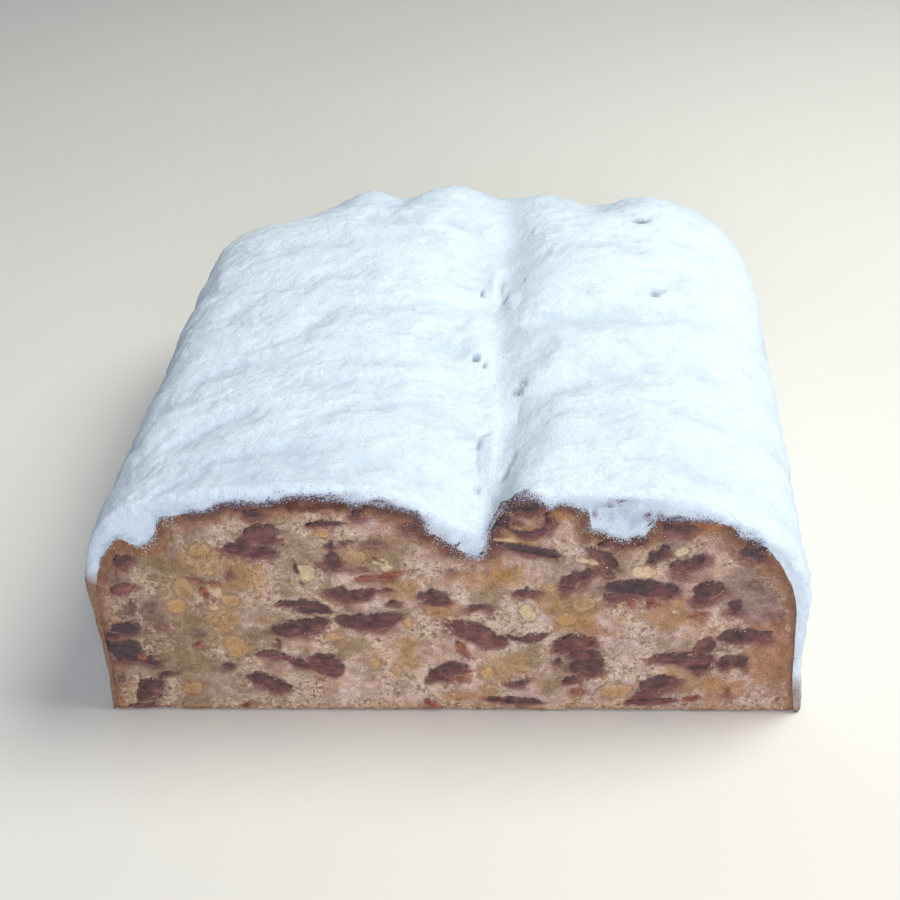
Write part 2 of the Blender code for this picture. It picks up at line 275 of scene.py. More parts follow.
def even_places(path, spacing):
    """Box numbers at even distances along a path that is given as a function of a number from 0 to 1."""
    fine = np.linspace(0, 1, 4001)
    points = path(fine)
    run = np.concatenate([[0], np.cumsum(np.linalg.norm(np.diff(points, axis=0), axis=-1))])
    count = max(2, round(run[-1] / spacing))
    return np.interp(np.linspace(0, run[-1], count + 1), run, fine)


def hollow_out(points, grow=0.0):
    """Sinks points that lie over a hollow to its floor."""
    for hollow in HOLLOWS.values():
        radii = np.array(hollow["radii"]) + grow
        across = (points - np.array(hollow["at"])) / radii
        share = 1 - across[:, 0] ** 2 - across[:, 1] ** 2
        floor = hollow["at"][2] - np.sqrt(np.maximum(share, 0.0)) * radii[2]
        points[:, 2] = np.where(share > 0, np.minimum(points[:, 2], floor), points[:, 2])


# ---- the box that becomes a loaf, in rings and ends ----


def ring_place(a, c):
    """How far round the box a point lies: left side, top, right side, base, one unit each."""
    return np.where(c >= 1, 1 + (a + 1) / 2, np.where(a <= -1, c, np.where(a >= 1, 3 - c, 3 + (1 - a) / 2)))


def box_shell(tops, sides, rows, closed):
    """Box numbers, quads and open border of a box without its front, and without its base unless closed.

    The result is (a, b, c), quads and the border as pairs of point number and place.
    """
    a = np.concatenate([-np.ones(len(sides) - 1), tops, np.ones(len(sides) - 1)])
    c = np.concatenate([sides[:-1], np.ones(len(tops)), sides[-2::-1]])
    if closed:
        a = np.concatenate([a, tops[-2:0:-1]])
        c = np.concatenate([c, np.zeros(len(tops) - 2)])
    strip = np.arange(len(rows) * len(a)).reshape(len(rows), len(a))
    cap = np.zeros((len(tops), len(sides)), int)
    last = strip[-1]
    first_inner = 1 if closed else 0
    count = (len(tops) - 2) * (len(sides) - 1 - first_inner)
    cap[1:-1, first_inner:-1] = strip.size + np.arange(count).reshape(len(tops) - 2, -1)
    rim = len(tops) + 2 * (len(sides) - 1)
    cap[0, :] = last[: len(sides)]
    cap[:, -1] = last[len(sides) - 1 : len(sides) - 1 + len(tops)]
    cap[-1, :] = last[:rim][::-1][: len(sides)]
    if closed:
        cap[1:-1, 0] = last[rim:][::-1]
    cap_a, cap_c = np.meshgrid(tops[1:-1], sides[first_inner:-1], indexing="ij")
    numbers = (
        np.concatenate([np.tile(a, len(rows)), cap_a.ravel()]),
        np.concatenate([np.repeat(rows, len(a)), np.ones(count)]),
        np.concatenate([np.tile(c, len(rows)), cap_c.ravel()]),
    )
    around = np.concatenate([strip, strip[:, :1]], axis=1) if closed else strip
    faces = np.concatenate([grid_faces(around), grid_faces(cap)])
    front = list(zip(strip[0], ring_place(a, c)))
    if closed:
        return numbers, faces, front
    border = front + [(strip[i, -1], 3 + rows[i]) for i in range(1, len(rows))]
    border += [(point, 4 + (1 - at) / 2) for point, at in zip(cap[-2:0:-1, 0], tops[-2:0:-1])]
    border += [(strip[i, 0], 6 - rows[i]) for i in range(len(rows) - 1, 0, -1)]
    return numbers, faces, border


def even_shell(grid, start, closed):
    """A box shell with evenly spaced points: how many across, up and along, and where it starts."""
    across, up, along = grid
    rows = np.linspace(start, 1, along)
    return box_shell(np.linspace(-1, 1, across), np.linspace(0, 1, up), rows, closed)


def zip_loops(first, second, length):
    """Triangles between two closed loops of (point number, place) pairs, places from 0 to length."""
    first = first + [(first[0][0], first[0][1] + length)]
    second = second + [(second[0][0], second[0][1] + length)]
    i = j = 0
    made = []
    while i < len(first) - 1 or j < len(second) - 1:
        next_i = first[i + 1][1] if i < len(first) - 1 else math.inf
        next_j = second[j + 1][1] if j < len(second) - 1 else math.inf
        if next_i <= next_j:
            made.append((first[i][0], first[i + 1][0], second[j][0]))
            i += 1
        else:
            made.append((first[i][0], second[j + 1][0], second[j][0]))
            j += 1
    return made


# ---- the line where crust and sugar meet at the cut ----

RAGGED = [(4.2, 0.34), (1.7, 0.2), (0.8, 0.12)]  # size of the bumps and their height
# Bumps and dips of the crust's top edge: x, height, half width.
CRUST_BUMPS = [
    (-52, 0.3, 3), (-46, -0.5, 2.5), (-39, 0.5, 3.5), (-33, -1.3, 4.5), (-20, -0.6, 5),
    (-15.5, -1.1, 1.5), (-11, -0.2, 2.6), (-4, 0.5, 1.8), (-1.4, -1.3, 1.3), (13.5, 1.2, 2), (17, 1.4, 3),
    (22, -1.3, 1.3), (28.4, -1.5, 1.6), (33, 0.8, 1.4), (38.5, 0.8, 1), (44, -0.9, 1.4), (55, 0.7, 3.5),
    (59.5, -0.9, 1.5),
]


def outward(points):
    """Unit directions in x and z, outwards across a line of points that runs left to right."""
    along = np.gradient(points, axis=0)
    across = np.stack([-along[:, 2], np.zeros(len(along)), along[:, 0]], axis=-1)
    return across / np.maximum(np.linalg.norm(across, axis=-1, keepdims=True), 1e-9)


def round_ring(place):
    """Points of the bread's plain edge at the cut, for places from 0 to 3 round the ring."""
    return loaf(np.clip((place - 1) * 2 - 1, -1, 1), 0, np.clip(np.minimum(place, 3 - place), 0, 1), BREAD)


def fine_crust_line():
    """The crust's edge at the cut as a dense line: its places round the ring and its points."""
    place = np.linspace(0, 3, 3001)
    plain = round_ring(place)
    points = plain.copy()
    hollow_out(points)
    x, z = points[:, 0].copy(), points[:, 2].copy()
    shift = sum(height * noise(points, size, 31 + i) for i, (size, height) in enumerate(RAGGED))
    shift = shift + sum(height * bell(x - bump, width) for bump, height, width in CRUST_BUMPS)
    burst = bell(x - HOLLOWS["burst"]["at"][0], 8.0) * (z > 40)
    shift = shift + burst * (0.45 * noise(points, 2.2, 36) + 0.3 * noise(points, 1.0, 37))
    calm = ramp(z, 1, 12) * (0.45 + 0.55 * ramp(z, 30, 44))
    points = points + outward(plain) * (shift * calm)[:, None]
    points[:, 0] += burst * (0.8 * noise(points, 1.9, 38) + 0.35 * noise(points, 0.9, 39))
    return place, points


LINE_PLACES, LINE_POINTS = fine_crust_line()


def crust_line(place):
    return np.stack([np.interp(place, LINE_PLACES, LINE_POINTS[:, i]) for i in range(3)], axis=-1)


# ---- what the cut shows: fruit pieces ----
# x, z, half length, half thickness, tilt in degrees, rise of the tips, in millimetres.


def filled(rows):
    """The rows with the tilt and the rise that they leave out, both 0."""
    return [row + (0,) * (6 - len(row)) for row in rows]


RAISINS = filled([
    (-38, 43.2, 5.3, 1.9, -4, 0.2), (-35.2, 47.5, 3.6, 1.5, 8), (-64.2, 40.6, 1.9, 1.6, 20),
    (-65.4, 33.2, 2.6, 1.1, 22), (-60.6, 27, 2.2, 2.7), (-66.4, 22.6, 3.6, 1.7, 8, 0.3),
    (-66.9, 16.8, 3.2, 3.2), (-62.2, 13.6, 2.2, 1.2, -20), (-64, 5.8, 4.7, 2.1, 42, -0.6),
    (-29.5, 23.2, 6.3, 2.3, 14, 0.8), (-28.5, 28.9, 5.6, 0.9, -6, -0.6), (-36, 15.2, 4.3, 1.1, -12, -0.8),
    (-38, 7.8, 4.5, 1.9, -24), (-25.2, 12.6, 3.8, 2.6, -38), (-18.6, 32.1, 5.6, 1.8, 1, 1.3),
    (-21.4, 40.2, 2.2, 2.5), (-13.6, 36, 4.1, 1.1, 6), (-15.2, 25, 7, 2.3, 5, 1.2),
    (-1.9, 31.4, 3, 1.4, 5, 0.3), (7, 28.4, 2.4, 1.1, 5), (6.2, 21.7, 6.2, 2.2, -25),
    (17.4, 20.4, 4.4, 0.9, 6, 1.3), (-0.6, 10.7, 4.8, 1.9, 32, -0.4), (14.8, 7.8, 2.7, 0.9, 14, 0.6),
    (26.8, 18.8, 4.5, 2.2, 6), (29.4, 12.2, 3.7, 2.8, -8), (14, 2.8, 6, 0.9, -4),
    (17.6, 47.4, 4.2, 0.9, 0, 1.6), (18.6, 42.6, 5.8, 1.1, -13), (32.2, 40.9, 4.3, 1.3, -38),
    (27.4, 35.8, 4, 1.6, 22), (39.6, 33.2, 7.4, 2.1, -3, 0.4), (43.6, 41.4, 2.4, 1.3, 30),
    (49.8, 39.6, 3.6, 1.7, 30), (61.2, 41.6, 2.8, 1.7, -20), (53.4, 32.2, 3.2, 2.5, 20),
    (58.4, 27.8, 1.5, 2.1), (59.8, 20.6, 4.3, 1.8, 8, 0.5), (49.4, 14.4, 7, 1.6, -3),
    (60.2, 13.4, 2.1, 1.9), (44, 7.6, 4.4, 2, 20), (42.5, 2.6, 5.6, 0.9, 4),
])
PEELS = filled([
    (-54.6, 28.6, 2.4, 2, 10), (-44, 18.6, 2.4, 2.3), (-54.6, 6.2, 2.1, 2), (-22.6, 20.2, 2.6, 0.9, 4),
    (-1.8, 27.9, 2, 1.2), (25, 25, 2.3, 2), (8.6, 10.4, 1.5, 2), (34.8, 5.4, 2.6, 1.8),
])
ALMONDS = filled([
    (-46.2, 33, 1.6, 1.5, 30), (-27.2, 37.6, 2.4, 1.6), (-12, 40, 2, 1.3), (17, 27.4, 1.6, 1.9),
    (39.6, 37.9, 2.2, 0.9, 5),
])
# Lobes of the raisins above, and shreds and skins too small for nodes of their own.
RAISIN_SHREDS = filled([
    (-36.2, 45.5, 4.2, 1.9, 4), (-36, 51.9, 1.7, 0.9), (-66.6, 36.8, 0.9, 1.8, 10), (-64.2, 29, 0.7, 1.4),
    (-58.6, 24.6, 1.9, 2.6), (-69.2, 16.4, 2.2, 3), (-69, 20.6, 1.8, 1.6), (-64.4, 15.2, 2.2, 0.8, -38),
    (-70.2, 9, 0.9, 1.3), (-60, 9.4, 2.2, 0.9, 32), (-64.6, 4.2, 2.4, 1.7, 10), (-66, 0.9, 3.6, 0.6),
    (-51.2, 18.3, 1.2, 1.1, 10), (-50.8, 21.6, 1.6, 1.3), (-48.4, 32.2, 0.8, 1.5, 20),
    (-46, 34.2, 1.1, 0.6, 20), (-50, 35.6, 1.2, 0.6, -10), (-42.3, 37.6, 0.7, 0.7),
    (-31.2, 22.8, 3.3, 2.1, 5), (-26.6, 27.6, 4, 1, -4), (-31, 13.2, 2.5, 1, -25),
    (-36, 6.4, 3, 1.6, -12), (-42.4, 1.6, 2.2, 0.7, 15), (-34.6, 18.6, 0.5, 1.2, -10),
    (-26.8, 9, 1, 0.7, 20), (-21.4, 44, 0.9, 1.3), (-17.6, 38.2, 3.8, 0.6, -6), (-9.6, 36.8, 3, 1, 12),
    (-12.2, 40.4, 1.2, 0.5, -30), (-28.6, 36.8, 0.5, 2.4, 12), (-22, 49.5, 4.4, 0.6, 4),
    (-18.2, 45.2, 1.4, 0.4, 10), (-13.2, 44.4, 2.6, 0.9, 6), (-15.5, 51.4, 1.4, 0.9), (-12, 32.9, 2, 0.3),
    (-5.6, 48.2, 1.6, 0.8, -25), (-1, 30, 2.9, 1.5, 4), (3.4, 43.2, 1.5, 1.1), (2.2, 37.6, 1.5, 1.1),
    (3.6, 17, 1.1, 3, 24), (3.6, 9.6, 1.6, 0.8), (2.6, 11.4, 2.2, 1.5), (-3.4, 1.6, 2, 1, -30),
    (8.8, 19.8, 4.4, 1.8, -12), (4.4, 22.4, 3, 1.9, -34), (17.4, 32.2, 2.8, 0.8, 3, 0.2),
    (13.2, 43.9, 2.6, 0.8, -12), (24.8, 17.6, 2.2, 1.2, -6), (28.6, 15.6, 3.2, 1.6),
    (26.2, 9, 2.2, 0.9, 30), (12.4, 49.2, 2.6, 0.8, 38), (16.4, 53, 3.6, 1.2, 4), (21.6, 49.8, 0.9, 1.8),
    (35.6, 44.4, 4.6, 0.8, 2, -0.6), (38.8, 45, 1.8, 0.9, -10), (47.8, 47.8, 2.6, 1, 4),
    (45, 48.2, 1.4, 1.2), (35.8, 31.2, 3.4, 1.3, 14), (38.2, 29, 0.7, 1.9, 20),
    (42.2, 29.4, 1.4, 0.8, 30), (33, 37.2, 2, 1.2, -40), (25.4, 33.4, 2, 0.9, 10),
    (45.2, 32.4, 1.7, 2, 10), (42.6, 40.2, 1.6, 0.6, 20), (47.4, 38.2, 2.3, 1.8, 10),
    (62.4, 43.2, 2.6, 1.8), (62.6, 33.6, 1.6, 0.8, -30), (52.2, 30.6, 2.6, 1.9, 10),
    (51.4, 26.2, 1.9, 0.7, 12), (67.4, 26.2, 0.9, 2, -20), (65, 20.4, 1.5, 1.5), (53, 17.4, 2, 3, -14),
    (52.4, 12.2, 2.6, 1.7), (58, 13.4, 2.6, 1.7), (41.6, 5, 3.2, 1.6, 20), (51, 3.6, 1.9, 0.9, 15),
    (58.4, 5.2, 1, 1.2), (26.8, 5.4, 1.5, 1.2, 10), (-46, 12.4, 1.2, 0.5, -15), (23, 13.6, 0.8, 0.6),
    (-10, 29.6, 1.2, 0.4, 10),
])
PEEL_SHREDS = filled([
    (-48, 43, 2.4, 1.4), (-52.6, 33.4, 2.2, 2.8), (-43.2, 30.2, 2.4, 1.8), (-43.4, 16.8, 2.3, 1.9),
    (-35.8, 25.2, 1.3, 0.8), (-23, 47.4, 1.4, 1.2), (-15.2, 13.2, 1.2, 1.9, 10), (-10.4, 11.6, 1, 1.5),
    (-16.6, 41.6, 2.9, 1.7), (27, 3.6, 1, 0.7, 20), (-0.6, 27, 2.3, 1.3), (-7.2, 24.2, 1.2, 1.3),
    (28.6, 29, 2.4, 1.6, 10), (9.2, 6.2, 1.6, 1), (36.6, 6, 2.2, 1.5),
])
ALMOND_SHREDS_AND_GLINTS = filled([
    (-46, 32, 1.3, 1.3, 20), (-27.4, 36.2, 2.2, 1.3), (-10.8, 38.4, 1.7, 1.2), (-47, 28.2, 1.1, 0.8, 20),
    (13, 45.3, 2.2, 0.6, -6), (17.4, 26.2, 1.6, 1.5), (29.2, 40, 2.7, 1.1, -12),
    (40.4, 36.9, 2.2, 1.1, 5), (47.6, 42.2, 1.9, 1.3, 20), (46.8, 27.2, 1.1, 0.6, -8),
    # The small pale pieces at (-17.6, 31.6) and (4.6, 22.4) lie on raisins: painted glints on the raisins,
    # drawn with the almond's colour.
    (-17.6, 31.6, 0.4, 0.9), (4.6, 22.4, 1.1, 0.5, -10), (-25.6, 42.6, 1.2, 0.8, 10),
])
RED_FRUIT = {
    (-13.6, 36), (-9.6, 36.8), (-26.8, 9), (3.6, 17), (3.6, 9.6), (-51.2, 18.3), (-42.4, 1.6),
    (-3.4, 1.6), (51.4, 26.2), (38.2, 29), (42.2, 29.4), (51, 3.6), (58.4, 5.2), (26.8, 5.4), (-0.6, 27),
    (-64.4, 15.2), (-48.4, 32.2), (-46, 34.2), (-50, 35.6),
}
DARK_FRUIT = {
    (-66.9, 16.8), (-69.2, 16.4), (61.2, 41.6), (62.4, 43.2), (43.6, 41.4), (42.6, 40.2), (47.8, 47.8),
    (45, 48.2), (-21.4, 44), (12.4, 49.2), (16.4, 53), (-28.6, 36.8), (18.6, 42.6), (13.2, 43.9),
    (-66.4, 22.6), (-69, 20.6), (-26.6, 27.6), (39.6, 33.2),
}
FAINT_FRUIT = {
    (-66.6, 36.8), (-50.8, 21.6), (-70.2, 9), (2.2, 37.6), (-13.2, 44.4), (62.6, 33.6), (67.4, 26.2),
    (-60.6, 27), (-58.6, 24.6), (-48, 43), (-16.6, 41.6), (9.2, 6.2), (28.6, 29), (-17.6, 38.2),
    (-52.6, 33.4),
}
ALL_RAISINS = RAISINS + RAISIN_SHREDS
ALL_PEELS = PEELS + PEEL_SHREDS
ALL_ALMONDS_AND_GLINTS = ALMONDS + ALMOND_SHREDS_AND_GLINTS
RAISIN_SPREAD, PEEL_SPREAD = 1.0, 0.8


def piece_share(x, z, fruit):
    """0 at a fruit piece's middle and 1 at its edge, and the height in it, for points of the cut."""
    at_x, at_z, length, thickness, tilt, rise = fruit
    turn = math.radians(tilt)
    along = ((x - at_x) * math.cos(turn) + (z - at_z) * math.sin(turn)) / length
    across = (z - at_z) * math.cos(turn) - (x - at_x) * math.sin(turn)
    across = (across - rise * (np.minimum(along**2, 2) - 0.4)) / thickness
    return np.sqrt(along**2 + across**2), across


def nearest_fruit(points, fruits):
    """For points of the cut: millimetres outside the nearest piece, height in it, and its number."""
    gap = np.full(len(points), 99.0)
    height = np.zeros(len(points))
    number = np.zeros(len(points), int)
    for i, fruit in enumerate(fruits):
        near = np.hypot(points[:, 0] - fruit[0], points[:, 2] - fruit[1]) < max(fruit[2:4]) + 5
        share, across = piece_share(points[near, 0], points[near, 2], fruit)
        reach = np.hypot(points[near, 0] - fruit[0], points[near, 2] - fruit[1])
        away = np.where(share < 0.05, -min(fruit[2:4]), reach * (1 - 1 / np.maximum(share, 0.05)))
        away = np.maximum(away, -min(fruit[2:4]))
        closer = away < gap[near]
        gap[near] = np.where(closer, away, gap[near])
        height[near] = np.where(closer, across, height[near])
        number[near] = np.where(closer, i, number[near])
    return gap, height, number


def fruit_field(points, fruits, spread):
    """The same with the pieces' uneven outlines: ragged above, soft below."""
    gap, height, number = nearest_fruit(points, fruits)
    ragged = 0.30 * noise(points, 0.9, 151) + 0.20 * noise(points, 0.45, 152)
    broad = 0.50 * noise(points, 2.6, 153) + 0.22 * noise(points, 1.3, 154)
    upper = 0.3 + 0.7 * ramp(height, 0.1, 0.7)
    return gap + spread * (ragged * upper + broad), height, number


# ---- materials ----


def srgb(red, green, blue):
    """A colour given in display values from 0 to 255, as linear light."""
    values = np.array([red, green, blue]) / 255
    return np.where(values <= 0.04045, values / 12.92, ((values + 0.055) / 1.055) ** 2.4)


class Recipe:
    """A node material under construction."""

    def __init__(self, name):
        self.material = bpy.data.materials.new(name)
        self.material.use_nodes = True
        self.tree = self.material.node_tree
        self.shader = self.tree.nodes["Principled BSDF"]
        self.coordinates = self.tree.nodes.new("ShaderNodeTexCoord").outputs["Object"]

    def add(self, kind, settings=(), links=(), values=()):
        node = self.tree.nodes.new(kind)
        for key, value in dict(settings).items():
            setattr(node, key, value)
        for key, value in dict(values).items():
            node.inputs[key].default_value = value
        for key, source in dict(links).items():
            self.tree.links.new(source, node.inputs[key])
        return node

    def set(self, **values):
        for key, value in values.items():
            self.shader.inputs[key.replace("_", " ")].default_value = value

    def link(self, socket, source):
        self.tree.links.new(source, self.shader.inputs[socket])

    def attribute(self, name, output="Color"):
        return self.add("ShaderNodeAttribute", {"attribute_name": name}).outputs[output]

    def noise(self, size, detail=3.0, roughness=0.6, squeeze=(1, 1, 1)):
        """Soft noise whose lumps are about size millimetres across."""
        at = self.add("ShaderNodeMapping", links={"Vector": self.coordinates}, values={"Scale": squeeze})
        values = {"Scale": 1 / (size * MM), "Detail": detail, "Roughness": roughness}
        made = self.add("ShaderNodeTexNoise", links={"Vector": at.outputs["Vector"]}, values=values)
        return made.outputs["Fac"]

    def shards(self, size):
        """A random number from 0 to 1 for each ragged shard about size millimetres across."""
        at = {"Vector": self.coordinates}
        swirl = {"Scale": 1.6 / (size * MM), "Detail": 3.0, "Roughness": 0.7}
        swirl = self.add("ShaderNodeTexNoise", links=at, values=swirl).outputs["Color"]
        spread = 0.9 * size * MM
        push = self.add("ShaderNodeVectorMath", {"operation": "MULTIPLY_ADD"}, {0: swirl})
        push.inputs[1].default_value = (spread, spread, spread)
        push.inputs[2].default_value = (-spread / 2, -spread / 2, -spread / 2)
        both = {0: self.coordinates, 1: push.outputs[0]}
        at = self.add("ShaderNodeVectorMath", {"operation": "ADD"}, both)
        scale = {"Scale": 1 / (size * MM)}
        made = self.add("ShaderNodeTexVoronoi", links={"Vector": at.outputs[0]}, values=scale)
        return self.add("ShaderNodeSeparateColor", links={"Color": made.outputs["Color"]}).outputs[0]

    def crumbed(self, tint):
        """The colour with crumbs of the bread clinging to it where the attribute says so."""
        crumb = self.mix(self.shards(0.5), (128, 100, 86), (196, 168, 146))
        return self.mix(self.specks(self.attribute("crumbed", "Fac"), 0.42), tint, crumb)

    def specks(self, amount, size):
        """Crisp flecks about size millimetres across, denser where amount is nearer to 1."""
        grain = self.noise(size, 2, 0.6)
        level = self.span(amount, 0.0, 1.0, 0.78, 0.34)
        over = self.add("ShaderNodeMath", {"operation": "SUBTRACT"}, {0: grain, 1: level}).outputs[0]
        return self.span(over, 0.0, 0.05)

    def span(self, source, low, high, to_low=0.0, to_high=1.0):
        values = {"From Min": low, "From Max": high, "To Min": to_low, "To Max": to_high}
        return self.add("ShaderNodeMapRange", links={"Value": source}, values=values).outputs["Result"]

    def tones(self, source, low, high, first, second):
        """From the first colour to the second while the source goes from low to high."""
        return self.mix(self.span(source, low, high), first, second)

    def graded(self, colour, share, *tones):
        """The colour multiplied by tones that follow a source."""
        return self.mix(share, colour, self.tones(*tones), "MULTIPLY")

    def mix(self, share, first, second, blend="MIX"):
        """A blend of two colours, each a socket or display values from 0 to 255."""
        node = self.add("ShaderNodeMix", {"data_type": "RGBA", "blend_type": blend})
        for index, source in ((0, share), (6, first), (7, second)):
            if isinstance(source, bpy.types.NodeSocket):
                self.tree.links.new(source, node.inputs[index])
            elif index:
                node.inputs[index].default_value = (*srgb(*source), 1)
            else:
                node.inputs[index].default_value = source
        return node.outputs[2]

    def bump(self, layers):
        """Bump from (height source, distance in millimetres) pairs."""
        normal = None
        for source, distance in layers:
            links = {"Height": source}
            if normal:
                links["Normal"] = normal
            node = self.add("ShaderNodeBump", links=links, values={"Distance": distance * MM})
            normal = node.outputs["Normal"]
        self.link("Normal", normal)


def sugar_material():
    made = Recipe("powdered_sugar")
    grain = made.noise(0.34, 3, 0.8)
    fine = made.noise(0.8, 5, 0.75)
    drift = made.noise(7, 4, 0.65, (1, 1.5, 1))
    white = made.tones(drift, 0.35, 0.7, (225, 238, 248), (236, 247, 251))
    white = made.mix(made.span(fine, 0.35, 0.65, 0.0, 0.7), (208, 224, 240), white)
    white = made.mix(made.span(grain, 0.35, 0.65, 0.55, 0.0), white, (186, 204, 224))
    white = made.mix(made.span(grain, 0.55, 0.75, 0.0, 0.7), white, (247, 252, 253))
    toned = made.mix(made.attribute("shade", "Fac"), white, (186, 202, 222))
    # Painted shade in the sugar's pits and slits: a blue-grey shadow tone, laid in where the attribute
    # says.
    pit_shade = made.tones(fine, 0.38, 0.62, (88, 90, 104), (150, 156, 172))
    toned = made.mix(made.attribute("pit_shade", "Fac"), toned, pit_shade)
    soil = made.attribute("soil", "Fac")
    blurred = made.tones(fine, 0.35, 0.65, (124, 108, 124), (178, 164, 182))
    toned = made.mix(made.span(soil, 0.2, 1.0, 0.0, 0.75), toned, blurred)
    brown = made.tones(made.noise(1.3, 3), 0.35, 0.65, (78, 70, 86), (122, 108, 122))
    toned = made.mix(made.specks(soil, 0.26), toned, brown)
    baked = made.tones(fine, 0.35, 0.65, (118, 92, 76), (158, 126, 104))
    made.link("Base Color", made.mix(made.attribute("crusty", "Fac"), toned, baked))
    made.link("Roughness", made.span(fine, 0.2, 0.8, 0.82, 0.98))
    made.set(Specular_IOR_Level=0.2, Subsurface_Weight=0.15, Subsurface_Scale=0.0012)
    made.set(Subsurface_Radius=(0.9, 0.95, 1.0))
    made.bump([(grain, 0.22), (fine, 0.30), (made.noise(1.9, 4, 0.7), 0.35)])
    return made.material


def crumb_material():
    made = Recipe("fruited_crumb")
    tint = made.attribute("tint")
    flaky = made.attribute("flaky", "Fac")
    clump = made.noise(1.3, 7, 0.75)
    fine = made.noise(0.42, 5, 0.8)
    grit = made.noise(0.28, 2, 0.7)
    shard = made.shards(0.72)
    flakes = made.tones(shard, 0.15, 0.85, (176, 142, 112), (255, 243, 218))
    flakes = made.mix(made.span(fine, 0.35, 0.65, 0.5, 0.0), flakes, (176, 142, 116))
    flakes = made.mix(0.3, flakes, tint)
    broken = made.tones(clump, 0.44, 0.50, tint, flakes)
    # Painted shade in the gaps of the broken crumb: darker where the clump noise, which also drives the
    # bump, is lowest, and in a few random shards that stand for shaded pores.
    broken = made.mix(made.span(clump, 0.42, 0.37, 0.0, 0.65), broken, (120, 92, 76))
    broken = made.mix(made.span(shard, 0.14, 0.08, 0.0, 0.45), broken, (122, 94, 78))
    soft = made.graded(tint, 0.85, made.noise(2.0, 6, 0.7), 0.35, 0.65, (200, 190, 178), (255, 255, 255))
    body = made.mix(flaky, soft, broken)
    body = made.graded(body, 0.9, grit, 0.36, 0.64, (198, 190, 184), (255, 255, 255))
    dusted = made.specks(made.attribute("dust", "Fac"), 0.26)
    made.link("Base Color", made.mix(dusted, body, (214, 216, 232)))
    made.link("Roughness", made.span(made.noise(2.5, 3), 0.3, 0.7, 0.6, 0.88))
    made.set(Specular_IOR_Level=0.25, Subsurface_Weight=0.05, Subsurface_Scale=0.0008)
    made.set(Subsurface_Radius=(1.0, 0.6, 0.35))
    made.bump([(grit, 0.12), (fine, 0.24), (clump, 0.5)])
    return made.material


def raisin_material():
    made = Recipe("raisin_flesh")
    tint = made.attribute("tint")
    fine = made.noise(0.5, 5, 0.75)
    wrinkle = made.noise(1.7, 5, 0.7, (0.8, 1, 1.3))
    toned = made.graded(tint, 0.9, wrinkle, 0.35, 0.65, (150, 140, 146), (255, 252, 250))
    toned = made.graded(toned, 0.7, fine, 0.35, 0.65, (176, 170, 174), (255, 255, 255))
    made.link("Base Color", made.crumbed(toned))
    made.link("Roughness", made.span(fine, 0.3, 0.7, 0.42, 0.66))
    made.set(Specular_IOR_Level=0.35, Subsurface_Weight=0.08, Subsurface_Scale=0.0008)
    made.set(Subsurface_Radius=(1.0, 0.35, 0.25))
    made.bump([(fine, 0.12), (wrinkle, 0.3)])
    return made.material


def peel_material():
    made = Recipe("candied_peel")
    tint = made.attribute("tint")
    cloud = made.noise(1.6, 4, 0.65)
    fine = made.noise(0.4, 3, 0.7)
    toned = made.graded(tint, 0.8, cloud, 0.3, 0.7, (190, 180, 160), (255, 252, 244))
    toned = made.graded(toned, 0.7, fine, 0.35, 0.65, (206, 200, 192), (255, 255, 255))
    made.link("Base Color", made.crumbed(toned))
    made.link("Roughness", made.span(cloud, 0.3, 0.7, 0.3, 0.5))
    made.set(Specular_IOR_Level=0.45, Subsurface_Weight=0.35, Subsurface_Scale=0.0015)
    made.set(Subsurface_Radius=(1.0, 0.6, 0.2))
    made.bump([(cloud, 0.18), (made.noise(0.5, 4, 0.7), 0.06)])
    return made.material


def almond_material():
    made = Recipe("almond_flesh")
    tint = made.attribute("tint")
    grain = made.noise(0.6, 4, 0.7)
    toned = made.graded(tint, 0.8, grain, 0.35, 0.65, (190, 176, 160), (255, 255, 250))
    made.link("Base Color", made.crumbed(toned))
    made.link("Roughness", made.span(grain, 0.3, 0.7, 0.5, 0.7))
    made.set(Specular_IOR_Level=0.4, Subsurface_Weight=0.15, Subsurface_Scale=0.001)
    made.bump([(grain, 0.1)])
    return made.material


def speck_material():
    made = Recipe("dark_crust_crumbs")
    fine = made.noise(1.1, 4, 0.7)
    made.link("Base Color", made.tones(fine, 0.35, 0.65, (90, 80, 96), (134, 118, 128)))
    made.link("Roughness", made.span(fine, 0.3, 0.7, 0.6, 0.85))
    made.bump([(made.noise(0.3, 3, 0.7), 0.05)])
    return made.material


def floor_material():
    made = Recipe("pale_floor")
    cloud = made.noise(300, 2)
    made.link("Base Color", made.tones(cloud, 0.3, 0.7, (206, 205, 203), (211, 210, 208)))
    made.set(Roughness=0.9, Specular_IOR_Level=0.2)
    return made.material


# ---- small lumps ----

FLATTEST = 0.6  # least thickness of a lump against its width


def lump_template():
    bm = bmesh.new()
    bmesh.ops.create_icosphere(bm, subdivisions=1, radius=1)
    points = np.array([vertex.co for vertex in bm.verts])
    faces = np.array([[vertex.index for vertex in face.verts] for face in bm.faces])
    bm.free()
    return points, faces


def lumps(name, places, sizes, material, draw):
    """One joined mesh of uneven lumps."""
    points, faces = lump_template()
    all_points, all_faces = [], []
    for i, (place, size) in enumerate(zip(places, sizes)):
        rough = 1 + 0.35 * noise(points * 1.3 + 11.7 * i, 1.0, 5)[:, None]
        stretch = np.array([1, draw.uniform(FLATTEST, 1), draw.uniform(FLATTEST, 1)])
        turn = np.array(Euler(draw.uniform(0, 2 * math.pi, 3)).to_matrix())
        shaped = points * rough * stretch @ turn.T * size / 2
        shaped[:, 1] = np.maximum(shaped[:, 1] + place[1], 0.01)
        shaped[:, 0] += place[0]
        shaped[:, 2] += place[2]
        all_points.append(shaped)
        all_faces.append(faces + i * len(points))
    return mesh_object(name, np.concatenate(all_points), np.concatenate(all_faces), material)


# ---- the bread ----

